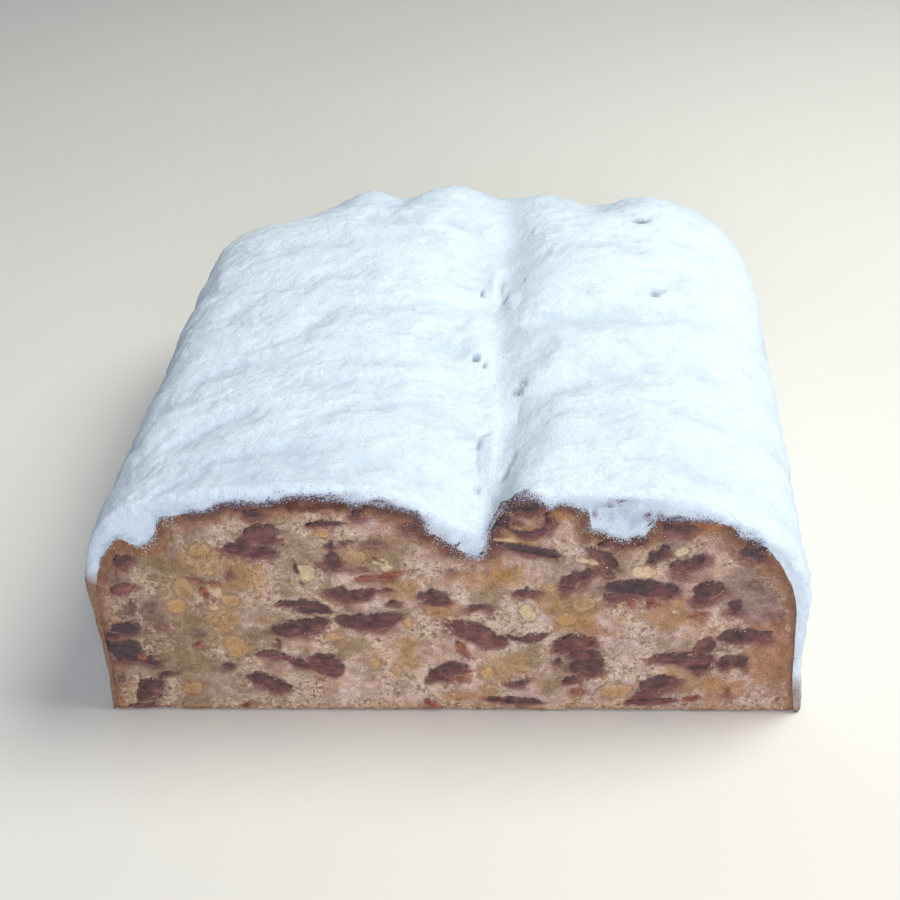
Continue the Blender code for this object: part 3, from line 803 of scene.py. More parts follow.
FACE_STEP = 0.37
CRUST_DEEP = 6.2  # how far the browned band reaches in from the crust
CRUMB_REST = 0.42  # the crumb's average distance behind the knife's plane
UNDER_FRUIT = 0.4  # how much deeper it is behind the fruit
BODY_GRID = (75, 19, 60)  # points across, up and along the bread behind the cut face
BODY_FROM = 0.011  # where it starts behind the cut, as a share of the length
HIDDEN_SINK = 1.3  # how far the bread under the sugar keeps below it, where no cut shows it


def blend(first, second, share):
    """Colours between the first and the second; a tuple is a colour in display values."""
    first, second = (srgb(*colour) if isinstance(colour, tuple) else colour for colour in (first, second))
    share = np.clip(share, 0, 1)[:, None]
    return first * (1 - share) + second * share


# Patches where the crumb is soaked smooth: x, z, half width, half height, colour.
OLIVE, HONEY, LILAC, AMBER = (174, 150, 114), (212, 169, 106), (158, 138, 136), (208, 154, 104)
ROSE, BROWN, PLUM, RUST = (190, 156, 146), (116, 80, 66), (128, 100, 96), (178, 114, 84)
PATCHES = [
    (-55, 36, 5, 7, OLIVE), (-47, 41, 7, 4, HONEY), (-58, 18, 6, 8, OLIVE), (-50, 22, 5, 7, OLIVE),
    (-30, 42, 5, 6, OLIVE), (-12, 42, 7, 6, OLIVE), (-8, 34, 5, 4, HONEY), (-20, 18, 5, 4, OLIVE),
    (8, 36, 9, 4, AMBER), (10, 31, 5, 4, OLIVE), (27, 28, 6, 5, OLIVE), (28, 24, 5, 3, HONEY),
    (34, 39, 5, 4, OLIVE), (16, 46, 7, 3, HONEY), (44, 46, 5, 4, LILAC), (61, 32, 7, 9, LILAC),
    (50, 36, 4, 3, ROSE), (47, 26, 8, 5, AMBER), (66, 16, 6, 12, AMBER), (50, 8, 7, 5, HONEY),
    (22, 8, 4, 4, OLIVE), (17, 15, 4, 4, OLIVE), (-36, 20, 6, 4, OLIVE), (-66, 28, 5, 12, LILAC),
    (-40, 36, 5, 5, HONEY), (-32, 34, 4, 3, OLIVE), (-24, 33, 3, 4, OLIVE), (-46, 25, 4, 4, HONEY),
    (-52, 13, 4, 3, OLIVE), (-8, 16, 4, 5, HONEY), (2, 27, 4, 3, AMBER), (14, 36, 5, 3, HONEY),
    (22, 30, 4, 4, HONEY), (12, 12, 5, 4, HONEY), (30, 22, 5, 2, AMBER), (58, 6, 6, 4, AMBER),
    (4, 4, 8, 2, AMBER), (-60, 44, 6, 3, AMBER),
]
# Where raisins lie close together the crumb between them is stained.
STAINS = [
    (-38, 45, 7, 4, PLUM), (-24, 39.5, 6, 5, PLUM), (-16, 25, 9, 3, PLUM), (-66, 20, 5, 9, PLUM),
    (-61, 27, 4, 5, ROSE), (-64, 41, 4, 4, PLUM), (-29, 14, 7, 3, LILAC), (39, 33, 10, 3.6, PLUM),
    (28, 38, 6, 4, PLUM), (28, 15.5, 6, 6, PLUM), (55, 15.5, 10, 5, PLUM), (45, 5.5, 8, 3, PLUM),
    (62, 22, 6, 3, PLUM), (47, 42, 6, 4, LILAC), (54, 31, 5, 4, LILAC), (5, 21.5, 7, 3, PLUM),
    (36, 45, 6, 2, PLUM),
]
# Darker baked spots on the crust: the browned knob right of the furrow and its neighbours.
CRUST_PATCHES = [
    (16.5, 52.2, 4.6, 2, BROWN), (14, 48.6, 2.6, 1.2, BROWN), (33, 44.6, 4.6, 1.3, BROWN),
    (24, 50.5, 3, 2.2, AMBER), (30, 48, 2, 1.6, LILAC), (-24, 54, 9, 1.4, BROWN), (-12, 53, 4, 1, BROWN),
    (52, 47.6, 4, 1.6, AMBER), (38.6, 30.2, 4.2, 1.3, RUST), (40.6, 28.8, 1.6, 1.5, RUST),
    (3.6, 16.6, 1.3, 2.6, RUST), (3.8, 8.6, 2.6, 0.9, RUST), (22.4, 17.8, 1.6, 0.9, RUST),
    (29, 8.6, 2.4, 0.8, RUST), (-26.4, 9.2, 1.8, 0.8, RUST), (0.6, 28.6, 2.4, 0.8, RUST),
]


def wander(points, size, seed_x, seed_z):
    """Noise to shift points of the cut by, in x and z."""
    shift = np.zeros((len(points), 3))
    shift[:, 0] = noise(points, size, seed_x)
    shift[:, 2] = noise(points, size, seed_z)
    return shift


def oval(points, x, z, half_width, half_height):
    """Distance from a spot on the cut, 1 at the edge of its oval."""
    return np.hypot((points[:, 0] - x) / half_width, (points[:, 2] - z) / half_height)


def lay_patches(points, tint, patches, strength):
    """Soaked or baked patches: their share at each point, and the colour with them laid in."""
    share = np.zeros(len(points))
    moved = points + (wander(points, 3.1, 71, 72) * 1.6 + wander(points, 1.2, 73, 74) * 0.7)
    for *place, colour in patches:
        inside = fall(oval(moved, *place), 0.6, 1.05)
        tint = blend(tint, colour, strength * inside)
        share = np.maximum(share, inside)
    return share, tint


# Tones of the crumb's mottling, from soaked to dry.
CRUMB_TONES = [
    (166, 146, 118), (184, 156, 128), (176, 148, 136), (198, 168, 134), (196, 172, 154), (208, 184, 164),
    (218, 198, 180),
]


def mottled(points, size, seed):
    """Soft-edged patches of the crumb's tones."""
    tones = np.array([srgb(*tone) for tone in CRUMB_TONES])
    total = 0.0
    for i in range(3):
        moved = points + 0.4 * size * wander(points, size / 1.6, seed + 5 + i, seed + 9 + i)
        label = cells(moved, size, seed)[1]
        total = total + tones[np.minimum((label * len(tones)).astype(int), len(tones) - 1)]
    return total / 3


def crumb_looks(points):
    """Depth behind the knife's plane, colour and flakiness of the cut crumb."""
    x = points[:, 0]
    flaky = ramp(layered(points, 6.0, 3, 3), -0.5, 0.1)
    tint = mottled(points, 4.4, 301)
    tint = tint * 0.55 + 0.45 * mottled(points, 1.9, 331)
    # Painted shade on the cut's left end: the crumb is darkened towards the left edge, and the factor
    # lighter below brightens it from x = -48 mm rightwards, so the left part stays darker.
    tint = blend(tint, (158, 138, 114), 0.45 * fall(x, -70, -40))
    tint = blend(tint, (200, 158, 124), 0.4 * ramp(x, 44, 70))
    lighter = ramp(x, -48, -24)[:, None] * np.array([0.42, 0.42, 0.56])
    lighter = lighter + ramp(x, 0, 40)[:, None] * np.array([0.0, 0.02, 0.14])
    # Darker towards the right end of the cut.
    right_edge_darkening = ramp(x, 56, 70)[:, None] * np.array([-0.49, -0.53, -0.40])
    tint = tint * (np.array([1.08, 1.10, 1.20]) + lighter + right_edge_darkening)
    soaked, tint = lay_patches(points, tint, PATCHES, 0.7)
    flaky = flaky * (1 - (0.8 - 0.4 * fall(x, -40, -15)) * soaked)
    broad, label = cells(points + 0.5 * noise(points, 1.4, 9)[:, None], 1.7, 11)
    clumps = fall(broad, 0.1, 0.75) * (0.4 + 0.6 * label)
    small, small_label = cells(points, 0.85, 23)
    flakes = fall(small, 0.1, 0.8)
    stretched = points * np.array([0.8, 1, 1.15])
    pore, pore_label = cells(stretched + 0.4 * noise(points, 1.0, 38)[:, None], 2.4, 37)
    pin, pin_label = cells(points, 1.15, 53)
    open_pore = fall(pore, 0.10, 0.26) * (pore_label > 0.68)
    open_pin = fall(pin, 0.1, 0.28) * (pin_label > 0.8)
    holes = np.maximum(open_pore, 0.8 * open_pin) * (0.1 + 0.9 * flaky)
    swell = layered(points, 7.0, 61, 2)
    depth = CRUMB_REST + 0.16 * swell + 0.30 * (0.5 - clumps) * (0.2 + flaky)
    depth = depth + 0.2 * (0.5 - flakes) * flaky + 0.7 * holes
    tint = blend(tint, (232, 211, 186), 0.5 * flaky * ramp(clumps + 0.5 * flakes, 0.45, 1.1))
    tint = blend(tint, (180, 146, 108), 0.5 * flaky * (small_label > 0.76) * flakes)
    tint = tint * (1 + 0.08 * swell + 0.06 * noise(points, 1.0, 83))[:, None]
    # The open pores sit deeper and are painted darker too: painted shade in the holes.
    return depth, blend(tint, (112, 84, 72), 0.75 * holes), flaky


# How dark the crust's top edge is: x, strength.
DARK_EDGE = [
    (-76, 0), (-51, 0.05), (-48, 0.9), (-30, 0.9), (-12, 1), (-4, 0.85), (0, 0.45), (8, 0.2), (11, 0.8),
    (14, 1), (21, 0.95), (27, 0.6), (30, 0.3), (34, 0.15), (41, 0.15), (43, 0.5), (45, 0.9), (52, 0.7),
    (55, 0.15), (60, 0.5), (65, 0.1), (76, 0),
]


def edge_darkness(points):
    return np.interp(points[:, 0], *zip(*DARK_EDGE)) * ramp(points[:, 2], 36, 42)


def crust_tone(points, tint, edge_gap, base_gap):
    """The colour with the browned top crust and the baked base laid in."""
    wide = 1 + 0.35 * noise(points, 5, 91) + 0.25 * noise(points, 1.8, 92)
    on_top = ramp(points[:, 2] + 0.08 * points[:, 0], 36, 44)
    on_side = ramp(np.abs(points[:, 0]), 20, 60) * (1 - on_top)
    golden = (0.75 * on_top + 0.5 * on_side) * fall(edge_gap, 1.6, 6.0 * wide)
    tint = blend(tint, (204, 160, 116), golden)
    brown = fall(edge_gap + 0.5 * noise(points, 0.9, 93), 0.8, CRUST_DEEP * wide)
    tint = blend(tint, (166, 120, 96), (0.9 * on_top + 0.6 * on_side) * brown)
    flecked = 0.5 * noise(points, 0.8, 94) + 0.3 * noise(points, 0.45, 95)
    dark = edge_darkness(points) * fall(edge_gap + flecked, 0.8, 2.6 * wide)
    tint = blend(tint, (120, 94, 102), 0.85 * dark)
    baked = blend((184, 128, 94), (222, 172, 130), ramp(base_gap, 0.2, 1.6))
    return blend(tint, baked, 0.7 * fall(base_gap, 0.6, 2.8 * wide))


def distance_to_crust(points):
    tree = KDTree(len(LINE_POINTS))
    for i, point in enumerate(LINE_POINTS):
        tree.insert((point[0], 0, point[2]), i)
    tree.balance()
    return np.array([tree.find((x, 0, z))[2] for x, _, z in points])


def face_grid():
    """The cut face's points as a grid over the box's a and c, its rim following the ragged crust line."""
    side = even_places(lambda c: loaf(-1, 0, c, BREAD), FACE_STEP)
    top = even_places(lambda t: loaf(2 * t - 1, 0, 0.7, BREAD), FACE_STEP) * 2 - 1
    a, c = np.meshgrid(top, side, indexing="ij")
    reach = np.maximum(np.abs(a), c)
    rim_a, rim_c = (np.where(reach > 0, part / np.maximum(reach, 1e-9), 0) for part in (a, c))
    rim_a = np.where(np.abs(a) >= c, np.sign(a), rim_a)
    rim_c = np.where(c >= np.abs(a), 1.0, rim_c)
    place = np.clip(ring_place(rim_a, rim_c), 0, 3)
    rim = round_ring(place)
    shift = crust_line(place) - rim + outward_from_middle(rim) * 0.3
    return top, side, loaf(a, 0, c, BREAD) + shift * ramp(reach, 0.45, 1.0)[..., None]


def outward_from_middle(points):
    away = points - np.array([0.0, 0.0, 12.0])
    away[..., 1] = 0
    return away / np.linalg.norm(away, axis=-1, keepdims=True)


def cover(field, height, faint, soft):
    """How much of the fruit's colour shows: crisp along the top of a piece and fading below."""
    lower = soft * ramp(-height, -0.6, 0.6)
    reach_in = 0.18 + 0.8 * lower + 0.6 * faint
    reach_out = 0.15 + 0.6 * lower + 0.5 * faint
    return 1 - np.clip((field + reach_in) / (reach_in + reach_out), 0, 1)


def face_looks(points):
    """The cut at each point: depth, colour, flakiness, and distance to the edge, the base and the fruit."""
    edge_gap = distance_to_crust(points)
    base_gap = points[:, 2].copy()
    depth, tint, flaky = crumb_looks(points)
    tint = lay_patches(points, tint, STAINS, 0.4)[1]
    tint = crust_tone(points, tint, edge_gap, base_gap)
    tint = lay_patches(points, tint, CRUST_PATCHES, 0.85)[1]
    raisin_gap, height, number = fruit_field(points, ALL_RAISINS, RAISIN_SPREAD)
    peel_gap, _, peel_number = fruit_field(points, ALL_PEELS, PEEL_SPREAD)
    almond_gap, almond_height, _ = fruit_field(points, ALL_ALMONDS_AND_GLINTS, PEEL_SPREAD)
    faint = (listed(ALL_RAISINS, FAINT_FRUIT) + 0.25 * listed(ALL_RAISINS, RED_FRUIT))[number]
    pale = listed(ALL_RAISINS, FAINT_FRUIT | RED_FRUIT)[number]
    stain = fall(raisin_gap + 1.0 * noise(points, 2.2, 103), 0.0, 2.2)
    stain = stain * (0.75 - 0.5 * np.sign(height)) * (1 - 0.6 * pale)
    tint = blend(tint, (152, 108, 110), 0.68 * stain)
    golden = fall(peel_gap + 0.8 * noise(points, 1.8, 106), 0.0, 1.6)
    tint = blend(tint, (198, 160, 114), 0.5 * golden)
    peel_faint = listed(ALL_PEELS, FAINT_FRUIT)[peel_number]
    share = cover(peel_gap, np.full(len(points), -1.0), 0.5 + 0.5 * peel_faint, 1.0)
    tint = blend(tint, peel_tone(points, peel_gap, peel_number), 0.85 * share)
    share = cover(almond_gap + 0.3 * noise(points, 0.8, 107), almond_height, 0.5, 0.5)
    tint = blend(tint, almond_tone(points, almond_gap), 0.9 * share)
    share = cover(raisin_gap, height, faint, 1.0)
    tint = blend(tint, raisin_tone(points, raisin_gap, height, number), share)
    fringe = 0.5 * noise(points, 0.9, 104) + 0.4 * noise(points, 2.0, 105)
    shadow = fall(raisin_gap + fringe, -0.2, 0.3) * ramp(height, 0.0, 0.7) * (1 - pale)
    tint = blend(tint, (100, 76, 74), 0.5 * shadow)
    gap = np.minimum(np.minimum(raisin_gap, peel_gap), almond_gap)
    flaky = flaky * (1 - 0.6 * ramp(stain, 0.3, 0.9)) * ramp(gap, -0.2, 0.6)
    return depth + 0.2 * shadow, tint, flaky, edge_gap, base_gap, gap


def make_bread(material):
    top, side, grid = face_grid()
    index = np.arange(len(top) * len(side)).reshape(len(top), len(side))
    points = grid.reshape(-1, 3)
    depth, tint, flaky, edge_gap, base_gap, gap = face_looks(points)
    depth = depth + UNDER_FRUIT * fall(gap, -0.9, -0.25)
    rim = fall(edge_gap, 0.0, 1.1)
    depth = depth * (1 - 0.4 * rim) + 0.45 * rim
    base_rim = fall(base_gap, 0.0, 0.9)
    points[:, 1] = np.maximum(depth + 0.3 * base_rim, 0.02)
    points[:, 2] = np.maximum(points[:, 2], 0.0)
    face_loop = list(zip(index[0, :], ring_place(-np.ones(len(side)), side)))
    face_loop += list(zip(index[1:, -1], ring_place(top[1:], np.ones(len(top) - 1))))
    face_loop += list(zip(index[-1, -2::-1], ring_place(np.ones(len(side) - 1), side[-2::-1])))
    face_loop += list(zip(index[-2:0:-1, 0], ring_place(top[-2:0:-1], np.zeros(len(top) - 2))))
    body_numbers, body_faces, body_loop = even_shell(BODY_GRID, BODY_FROM, True)
    body = loaf(*body_numbers, BREAD)
    hollow_out(body, 0.8)
    sunk = HIDDEN_SINK * ramp(body[:, 1], 2, 6) * ramp(body[:, 2], 2, 20)
    body = body - outward_from_middle(body) * sunk[:, None]
    mottle = 0.5 + 0.6 * layered(body, 17, 111, 3, 0.7)
    body_tint = blend((150, 104, 72), (188, 146, 106), mottle)
    under = (body[:, 2] < 0.2) & (body[:, 1] > 1)
    body[:, 2] = np.where(under, body[:, 2] + 0.25 * np.maximum(noise(body, 5, 113), 0), body[:, 2])
    start = len(points)
    faces = [*map(tuple, grid_faces(index)), *map(tuple, body_faces + start)]
    faces += zip_loops(face_loop, [(point + start, place) for point, place in body_loop], 4)
    made = mesh_object("bread_crumb", np.concatenate([points, body]), faces, material)
    paint(made, np.concatenate([tint, body_tint]))
    high = ramp(points[:, 2], 34, 42)
    flaky = flaky * ramp(edge_gap, 0.4 + 0.9 * high, 2.2 + 2.8 * high)
    spill = 0.45 + 0.9 * bell(points[:, 0] - 7.0, 5.0)
    spill = spill + 0.5 * bell(points[:, 0] - HOLLOWS["fold"]["at"][0], 6.0)
    spill = spill + 0.6 * bell(points[:, 0] - HOLLOWS["burst"]["at"][0], 8.0)
    dust = np.exp(-edge_gap / spill) * ramp(points[:, 2], 34, 39) * (0.55 + 0.3 * spill)
    for key, values in (("flaky", flaky), ("dust", dust)):
        write_attribute(made, key, np.concatenate([values, np.zeros(len(body))]))
    face_outwards(made)
    return made


def write_attribute(piece, name, values):
    layer = piece.data.attributes.new(name, "FLOAT", "POINT")
    layer.data.foreach_set("value", np.asarray(values, np.float32))


def paint(piece, colours):
    layer = piece.data.attributes.new("tint", "FLOAT_COLOR", "POINT")
    opaque = np.ones((len(colours), 1))
    layer.data.foreach_set("color", np.concatenate([np.clip(colours, 0, 1), opaque], axis=1).ravel())


# ---- the fruit at the cut ----

FRUIT_STEP = 0.3
FRUIT_ACROSS, FRUIT_UP = (-72.2, 72.4), (0.2, 57.0)  # the part of the cut that is searched for fruit
FRUIT_EDGE = 0.5  # how far past its outline a piece reaches under the crumb
CRUMBED_RIM = 0.42  # how strewn with crumbs a piece is at its outline
FRUIT_REST = 0.34  # the cut side's distance behind the knife's plane


def listed(fruits, chosen):
    return np.array([fruit[:2] in chosen for fruit in fruits], float)


def moods(fruits, seed):
    """One number from -1 to 1 for each piece."""
    return noise(np.array([[fruit[0] * 1.7, 0.5, fruit[1] * 1.9] for fruit in fruits]), 1.0, seed)


def raisin_tone(points, field, height, number):
    """Plum flesh, with a near-black skin along parts of the top and a ruddy fringe below."""
    kinds = (RED_FRUIT, DARK_FRUIT, FAINT_FRUIT)
    red, dark, faint = (listed(ALL_RAISINS, chosen)[number] for chosen in kinds)
    mood = moods(ALL_RAISINS, 123)[number]
    tint = blend((138, 92, 92), (108, 74, 78), 0.5 + 0.8 * noise(points, 2.6, 121))
    tint = blend(tint, (150, 100, 92), 0.5 * ramp(noise(points, 1.6, 122), 0.0, 0.7))
    warmth = np.stack([1 + 0.12 * mood, np.ones(len(mood)), 1 - 0.06 * mood], axis=-1)
    tint = tint * (1 + 0.3 * mood)[:, None] * warmth
    ruddy = blend((166, 92, 72), (184, 122, 92), 0.5 + noise(points, 1.2, 125))
    tint = blend(tint, ruddy, red)
    tint = blend(tint, (80, 68, 76), 0.9 * dark * ramp(noise(points, 2.0, 126), -0.95, -0.15))
    tint = blend(tint, (158, 130, 112), 0.7 * faint)
    lower = ramp(-height, -0.1, 0.6)
    fringe = ramp(field + 0.3 * noise(points, 1.1, 127), -1.0, -0.1)
    tint = blend(tint, (156, 104, 94), 0.7 * fringe * lower)
    skin = ramp(height + 0.9 * noise(points, 2.2, 128), 0.35, 0.8) * ramp(field, -0.8, -0.2)
    return blend(tint, (80, 62, 68), 0.7 * skin * (1 - faint) * (1 - 0.6 * red))


def peel_tone(points, field, number):
    red, faint = (listed(ALL_PEELS, chosen)[number] for chosen in (RED_FRUIT, FAINT_FRUIT))
    tint = blend((206, 158, 96), (184, 152, 106), 0.5 + 0.9 * noise(points, 2.4, 131))
    tint = blend(tint, (212, 168, 106), 0.6 * ramp(noise(points, 1.2, 132), 0, 0.6))
    tint = blend(tint, (170, 116, 90), red)
    tint = blend(tint, (170, 148, 118), 0.7 * faint)
    return blend(tint, (190, 162, 134), 0.85 * ramp(field, -1.0, -0.1))


def almond_tone(points, field):
    tint = blend((212, 194, 160), (192, 172, 136), 0.7 * ramp(noise(points, 1.5, 141), -0.2, 0.6))
    return blend(tint, (186, 158, 126), 0.7 * ramp(field, -0.6, 0.0))


def make_fruit(name, fruits, spread, material):
    """Closed pillows, cut flat towards the knife, wherever the pieces' field says there is fruit."""
    x = np.arange(*FRUIT_ACROSS, FRUIT_STEP)
    z = np.arange(*FRUIT_UP, FRUIT_STEP)
    grid_x, grid_z = np.meshgrid(x, z, indexing="ij")
    points = np.stack([grid_x, np.zeros_like(grid_x), grid_z], axis=-1).reshape(-1, 3)
    field, height, number = fruit_field(points, fruits, spread)
    faces = grid_faces(np.arange(len(points)).reshape(grid_x.shape))
    faces = faces[(field[faces] < FRUIT_EDGE).all(axis=1)]
    used, faces = np.unique(faces, return_inverse=True)
    faces = faces.reshape(-1, 4)
    points, field, height, number = points[used], field[used], height[used], number[used]
    inner = np.flatnonzero(np.bincount(faces.ravel(), minlength=len(used)) == 4)
    back_of = np.arange(len(used))
    back_of[inner] = len(used) + np.arange(len(inner))
    front = points.copy()
    front[:, 1] = FRUIT_REST + 0.45 * ramp(field, -0.7, FRUIT_EDGE)
    front[:, 1] += 0.10 * noise(points, 2.4, 45) + 0.05 * noise(points, 0.8, 46)
    front[:, 1] = np.maximum(front[:, 1], 0.03)
    back = front[inner]
    back[:, 1] += 0.2 + 2.2 * np.sqrt(np.clip(FRUIT_EDGE - field[inner], 0, 3))
    tint = face_looks(points)[1]
    made = mesh_object(name, np.concatenate([front, back]), [*faces, *back_of[faces][:, ::-1]], material)
    paint(made, np.concatenate([tint, tint[inner]]))
    lower = ramp(-height, -0.4, 0.6)
    some = ramp(noise(points, 3.0, 161), -0.1, 0.6)
    crumbed = some * CRUMBED_RIM * ramp(field, -1.4, -0.3) + 0.1 + 0.08 * lower
    write_attribute(made, "crumbed", np.concatenate([crumbed, crumbed[inner]]))
    face_outwards(made)
    return made


# ---- the sugar ----

LIP_ROUND = 2.6  # how far back from the cut the sugar's edge starts to round over
LIP_REST = 0.12  # its cut face's distance behind the knife's plane
LIP_ARC_ROWS, LIP_FLAT_ROWS = 10, 7
COAT_STEP_UP, COAT_STEP_ACROSS = 1.0, 0.66
INNER_GRID = (49, 11, 30)  # points across, up and along the coat's inner side
INNER_FROM = 0.012  # where it starts behind the cut, as a share of the length
INNER_LIFT = 0.3  # how far it keeps off the bread
BOX_MARGIN = 0.02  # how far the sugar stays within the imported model's box
PROUD_SHARE = 0.5  # how much the relief is held back where the coat is highest

# Valleys of the top, as ways through points: ((x, y), ...), depth and half width, in millimetres.
VALLEYS = [
    (((-56, 69), (-52, 76), (-46, 85), (-38, 86), (-33, 90), (-23, 91), (-14, 90)), 0.7, 1.8),
    (
        ((-55, 49), (-48, 56), (-42, 58), (-36, 61), (-31, 69), (-27, 74), (-18, 75), (-6, 76), (3, 82)),
        0.8, 1.7,
    ),
    (((-61, 45), (-53, 47), (-45, 50), (-38, 50)), 0.6, 1.6),
    (((-28, 45), (-23, 49), (-17, 50), (-10, 49), (-4, 52)), 0.8, 1.5),
    (((-60, 20), (-54, 21), (-48, 26), (-43, 28), (-37, 29)), 0.8, 1.7),
    (((-35, 24), (-27, 25), (-23, 29), (-17, 31), (-11, 32), (-5, 34), (-1, 39)), 0.7, 1.6),
    (((-57, 10), (-51, 14), (-41, 13), (-33, 14), (-23, 15)), 0.6, 1.6),
    (((-61, 1), (-54, 4), (-49, 8), (-45, 9)), 0.6, 1.5),
    (((-20, 10), (-11, 9), (-6, 8), (-1, 8)), 0.5, 1.6),
    (((-8, 66), (-5, 64), (-1, 61), (4, 58)), 1, 1.7), (((-6, 32), (-2, 31), (3, 30), (6, 25)), 0.6, 1.6),
    (((-8, 127), (-2, 127), (3, 121), (5, 108), (5, 93)), 0.7, 1.9),
    (((-28, 127), (-22, 125), (-17, 128)), 1.2, 3), (((-50, 105), (-38, 110), (-25, 111)), 0.5, 2),
    (((-40, 38), (-30, 40), (-18, 41)), 0.4, 1.5),
    (((17, 72), (30, 71), (37, 73), (43, 75), (48, 75), (53, 73), (60, 72), (66, 71)), 0.7, 2.2),
    (((14, 50), (16, 53), (20, 57), (25, 60)), 0.8, 2),
    (((22, 52), (30, 50), (40, 48), (52, 48), (62, 45)), 0.5, 1.7),
    (((18, 34), (22, 38), (27, 42), (33, 45), (38, 43), (44, 42)), 0.6, 1.7),
    (((10, 33), (14, 33), (20, 30), (30, 30), (38, 29)), 0.7, 1.7),
    (((14, 20), (20, 20), (28, 19), (40, 20)), 0.4, 1.5),
    (((10, 103), (11, 112), (14, 118), (19, 124)), 0.7, 2),
    (((17, 103), (21, 105), (28, 107), (37, 106), (44, 101), (49, 95)), 0.6, 1.8),
    (((55, 99), (52, 90), (49, 83)), 0.7, 1.6), (((50, 112), (56, 110), (62, 106)), 0.5, 1.6),
    (((45, 33), (52, 30), (60, 27)), 0.4, 1.6), (((36, 13), (46, 12), (58, 9)), 0.4, 1.6),
]
VALLEY_SPREAD = 1.7
# Holes in the sugar: x, y, half width, half length, turn in degrees, depth, and how dark the painted shade
# in the hole is.
PITS = [
    (5.4, 58, 0.9, 1.5, 0, 2, 1), (7.5, 56.6, 0.4, 1.7, 10, 1.1, 0.6),
    (14.9, 43.4, 1.1, 1.8, -30, 0.6, 0.55), (15.9, 45.6, 0.9, 2.2, -25, 0.4, 0.4),
    (5.5, 91.5, 0.45, 2.2, 0, 1, 0.7), (9.7, 93.5, 0.5, 4.6, 0, 1.1, 0.25),
    (10.8, 87.4, 0.8, 1.5, 10, 1.2, 0.5), (15.6, 92.5, 0.4, 2, -16, 0.5, 0.1),
    (7.2, 25.2, 0.4, 2, 4, 0.9, 0.55), (8.2, 28.4, 0.45, 1.4, 55, 0.9, 0.4),
    (7.3, 20.5, 0.3, 4, -3, 0.35, 0.25), (7.5, 14.5, 0.25, 3.4, 4, 0.25, 0.1),
    (7.4, 10.6, 0.5, 1.2, 0, 0.8, 0.4), (12.6, 13.2, 0.9, 1.7, 8, 1.1, 0.7),
    (13.8, 17, 0.9, 2.8, 15, 0.5, 0.1), (46.8, 82.6, 1, 1.6, -20, 0.8, 0.6),
    (48.6, 83.4, 0.8, 1.3, 0, 0.6, 0.35), (45.1, 122.5, 2.4, 2, 10, 1.2, 1),
    (2, 103, 0.5, 2.4, 0, 0.5, 0),
]
# Smears of crust crumbs on the sugar's cut edge: x, z, half width, half height, strength.
SMEARS = [
    (-38, 55.2, 6, 0.8, 0.6), (-22, 56.3, 8, 0.8, 0.7), (-11, 54.8, 4, 1, 0.75), (-2, 51, 2, 1.4, 0.5),
    (12, 52.6, 2, 2, 0.5), (17.5, 56, 4, 0.8, 0.8), (28.6, 52.2, 1.2, 2, 0.6),
    (33.5, 53.5, 1.1, 0.6, 0.9), (35.7, 54.5, 1.5, 0.6, 0.9), (30.6, 51.2, 0.8, 1.8, 0.7),
    (40.8, 50.6, 0.9, 1.4, 0.9), (46.5, 50.6, 3, 0.9, 0.85), (60, 46.8, 3, 1, 0.5),
]
# Raised lumps: x, y, half width, half length, height.
KNOLLS = [
    (3.6, 70.5, 4.4, 7.6, 1.9), (5.6, 63, 2.2, 3.6, 0.9), (9.8, 20, 1.5, 7, 0.8), (8.2, 97, 1.4, 7, 0.7),
    (12.8, 84, 1.6, 5, 0.7), (-58, 30, 3.6, 7, 0.6), (-57, 58, 3.4, 8, 0.6), (28, 90, 10, 8, 0.6),
    (34, 60, 12, 5, 0.6), (30, 23, 12, 5, 0.4), (-24, 58, 8, 5, 0.5), (-34, 20, 9, 3.5, 0.4),
    (-12, 22, 8, 6, 0.4), (9.5, 38, 3.4, 9, 0.6), (-60, 101, 3, 6, 0.7), (28, 64, 12, 4, 0.5),
]


def way_distance(points, way):
    """Distance from each point to a way over the top, and the share of the way there."""
    flat = points[:, :2]
    best = np.full(len(points), 99.0)
    share = np.zeros(len(points))
    for i, (start, end) in enumerate(zip(way, way[1:])):
        start, end = np.array(start, float), np.array(end, float)
        run = end - start
        at = np.clip(((flat - start) @ run) / (run @ run), 0, 1)
        far = np.linalg.norm(flat - (start + at[:, None] * run), axis=-1)
        share = np.where(far < best, (i + at) / (len(way) - 1), share)
        best = np.minimum(best, far)
    return best, share


